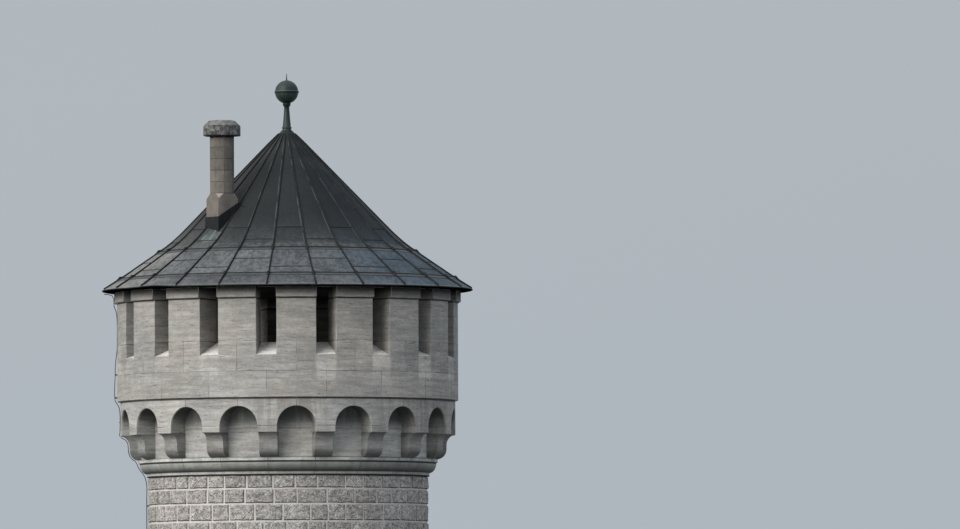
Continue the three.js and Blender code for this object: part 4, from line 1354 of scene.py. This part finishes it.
def make_chimney(stone, broach, cap_stone, joint):
    low_outline, outline, rim = square(CHIMNEY_SIDE), octagon(CHIMNEY_FLATS), octagon(CAP_FLATS)
    base_low, base_top = (corner.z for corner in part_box("chimney_base"))
    base = Bundle()
    points, faces = pierced([low_outline, low_outline, outline], [base_low, base_top - BROACH, base_top])
    base.add(points, creased(points, faces), 1.0, 0, None, 1)
    base.piece("chimney_base_stone", "chimney_stone", [stone, broach, joint], ["chimney_base"], ARRIS)
    low, high = (corner.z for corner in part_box("chimney_shaft"))
    shaft = Bundle()
    rise = (high - low) / CHIMNEY_COURSES
    for k in range(CHIMNEY_COURSES):
        shaft.add(*pierced([outline, outline], [low + k * rise, low + (k + 1) * rise]), dice.random())
    shaft.piece("chimney_shaft_stones", "chimney_stone", [stone, joint], ["chimney_shaft"], ARRIS)
    low, high = (corner.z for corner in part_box("chimney_cap"))
    cap = Bundle()
    cap.add(*pierced([rim, rim, octagon(CAP_TOP_FLATS)], [low, high - CAP_BEVEL, high]))
    cap.piece("chimney_cap_stone", "chimney_stone", [cap_stone], ["chimney_cap"], CAP_ARRIS)


def turned(profile, name, material, node):
    """Smooth body of revolution on the tower's axis."""
    bundle = Bundle()
    bundle.add(*swept(profile, spread(0, 360, 7.5)))
    bundle.piece(name, "finial_metal", [material], [node], 0.0, 40.0)


def make_finial(metal):
    stem = [(AXIS_HOLE, STEM_LOW), *[(r, STEM_LOW + z) for r, z in STEM_FOOT]]
    stem += arc((STEM_ROLL[0], STEM_LOW + STEM_ROLL[1]), STEM_ROLL_RADII, -90, 90, 6)
    stem += [(r, STEM_LOW + z) for r, z in STEM_TAPER]
    stem += [(STEM_NECK, STEM_TOP), (AXIS_HOLE, STEM_TOP)]
    turned(stem, "finial_stem_cone", metal, "finial_stem")
    middle, radii = (0, BALL_BAND_LEVEL), (BALL_RADIUS, BALL_RADIUS)
    low_turn = -math.degrees(math.acos(STEM_NECK / BALL_RADIUS))
    high_turn = math.degrees(math.acos(SPIKE_FOOT / BALL_RADIUS))
    belt = math.degrees(math.asin(BALL_BAND_HALF / BALL_RADIUS))
    ball = [(AXIS_HOLE, BALL_BAND_LEVEL + BALL_RADIUS * math.sin(math.radians(low_turn)))]
    ball += arc(middle, radii, low_turn, -belt, 12)
    ball += arc((BALL_BAND_RING, BALL_BAND_LEVEL - BAND_LIP_DROP), BAND_LIP_RADII, -80, 60, 4)
    ball += arc((BALL_BAND_RING, BALL_BAND_LEVEL + BAND_ROLL_RISE), BAND_ROLL_RADII, -60, 90, 6)
    ball += arc(middle, radii, belt, high_turn, 12)
    ball.append((AXIS_HOLE, BALL_TOP))
    turned(ball, "finial_ball_shell", metal, "finial_ball")
    foot = BALL_TOP - SPIKE_SINK
    spike = [(AXIS_HOLE, foot), (SPIKE_FOOT, foot), (SPIKE_BODY, BALL_TOP + SPIKE_TAPER)]
    spike += [(SPIKE_TIP, SPIKE_TOP - SPIKE_TIP), (AXIS_HOLE, SPIKE_TOP)]
    turned(spike, "finial_spike_rod", metal, "finial_spike")


def paint(node, material):
    """Gives a CAD node that stays its own material."""
    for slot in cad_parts[node].material_slots:
        slot.material = material


def make_tower():
    make_shaft([rock_finish(), mortar_finish()])
    make_cornice([cornice_finish(), joint_finish("cornice_joint", 0.45)])
    make_corbel_wall([drum_finish(), corbel_finish(), joint_finish("drum_joint", 0.45)])
    make_arches([arch_finish(), joint_finish("arch_joint", 1.3)])
    make_parapet([parapet_finish(), sill_finish(), joint_finish("parapet_joint", 1.3)])
    boards = lining_finish()
    make_roof(roof_finish(), rib_finish(), strip_finish(), eave_shadow_finish(), boards)
    stone, broach = chimney_finish("chimney_stone", 1.07), chimney_finish("chimney_broach", 2.0)
    make_chimney(stone, broach, lichen_finish(), joint_finish("chimney_joint", 0.45))
    make_finial(finial_finish())
    paint("chimney_stack", soot_finish())
    paint("chimney_flashing", flashing_finish())
    paint("lightning_conductor", wire_finish())
    paint("gallery_floor", boards)
    paint("wall_plate", boards)


def make_floor():
    mesh = bpy.data.meshes.new("studio_floor")
    points = [at(FLOOR_RADIUS, angle, FLOOR_LEVEL) for angle in range(0, 360, 5)]
    mesh.from_pydata(points, [], [list(range(len(points)))])
    floor = placed("studio_floor", mesh)
    finish = Finish("studio_floor")
    finish.colour = finish.mix(finish.noise(0.2), (0.25, 0.26, 0.26), (0.28, 0.29, 0.29))
    mesh.materials.append(finish.done(0.95, 0.1))


def make_sky():
    """Overcast light, a little warmer and brighter from the left than from the right."""
    world = bpy.data.worlds.new("studio")
    bpy.context.scene.world = world
    sky = Nodes(world, "ShaderNodeBackground", "ShaderNodeOutputWorld", "Generated")
    across = sky.node("ShaderNodeMapRange")
    across.inputs["From Min"].default_value = -1.0
    sky.link(sky.x, across.inputs["Value"])
    tint = sky.node("ShaderNodeMix")
    tint.data_type = "RGBA"
    tint.blend_type = "MULTIPLY"
    tint.inputs[0].default_value = 1.0
    sky.link(sky.ramp(sky.height, SKY_RISING), tint.inputs[6])
    sky.link(sky.ramp(across.outputs[0], SKY_ACROSS), tint.inputs[7])
    sky.link(tint.outputs[2], sky.surface.inputs["Color"])
    sky.link(SKY_STRENGTH, sky.surface.inputs["Strength"])


def make_key_light():
    lamp = bpy.data.lights.new("key", "SUN")
    lamp.energy = SUN_STRENGTH
    lamp.angle = math.radians(SUN_SPREAD)
    lamp.color = SUN_COLOUR
    key = placed("key", lamp)
    towards = Vector(at(1.0, SUN_AZIMUTH, 0)) * math.cos(math.radians(SUN_HEIGHT))
    towards.z = math.sin(math.radians(SUN_HEIGHT))
    key.rotation_mode = "QUATERNION"
    key.rotation_quaternion = towards.to_track_quat("Z", "Y")


def make_camera():
    lens = bpy.data.cameras.new("camera")
    lens.lens = CAMERA_LENS
    lens.sensor_width = CAMERA_SENSOR
    lens.clip_start = 1.0
    lens.clip_end = 2000.0
    camera = placed("camera", lens)
    heading = Matrix.Rotation(math.radians(CAMERA_AZIMUTH - CAMERA_YAW), 4, "Z")
    pitch = Matrix.Rotation(math.radians(90 + CAMERA_PITCH), 4, "X")
    roll = Matrix.Rotation(math.radians(CAMERA_ROLL), 4, "Z")
    place = Matrix.Translation(at(CAMERA_DISTANCE, CAMERA_AZIMUTH, CAMERA_HEIGHT))
    camera.matrix_world = place @ heading @ pitch @ roll
    bpy.context.scene.camera = camera


make_camera()
make_tower()
make_floor()
make_sky()
make_key_light()
bpy.context.scene.view_settings.view_transform = "Standard"
bpy.context.scene.view_settings.look = "None"
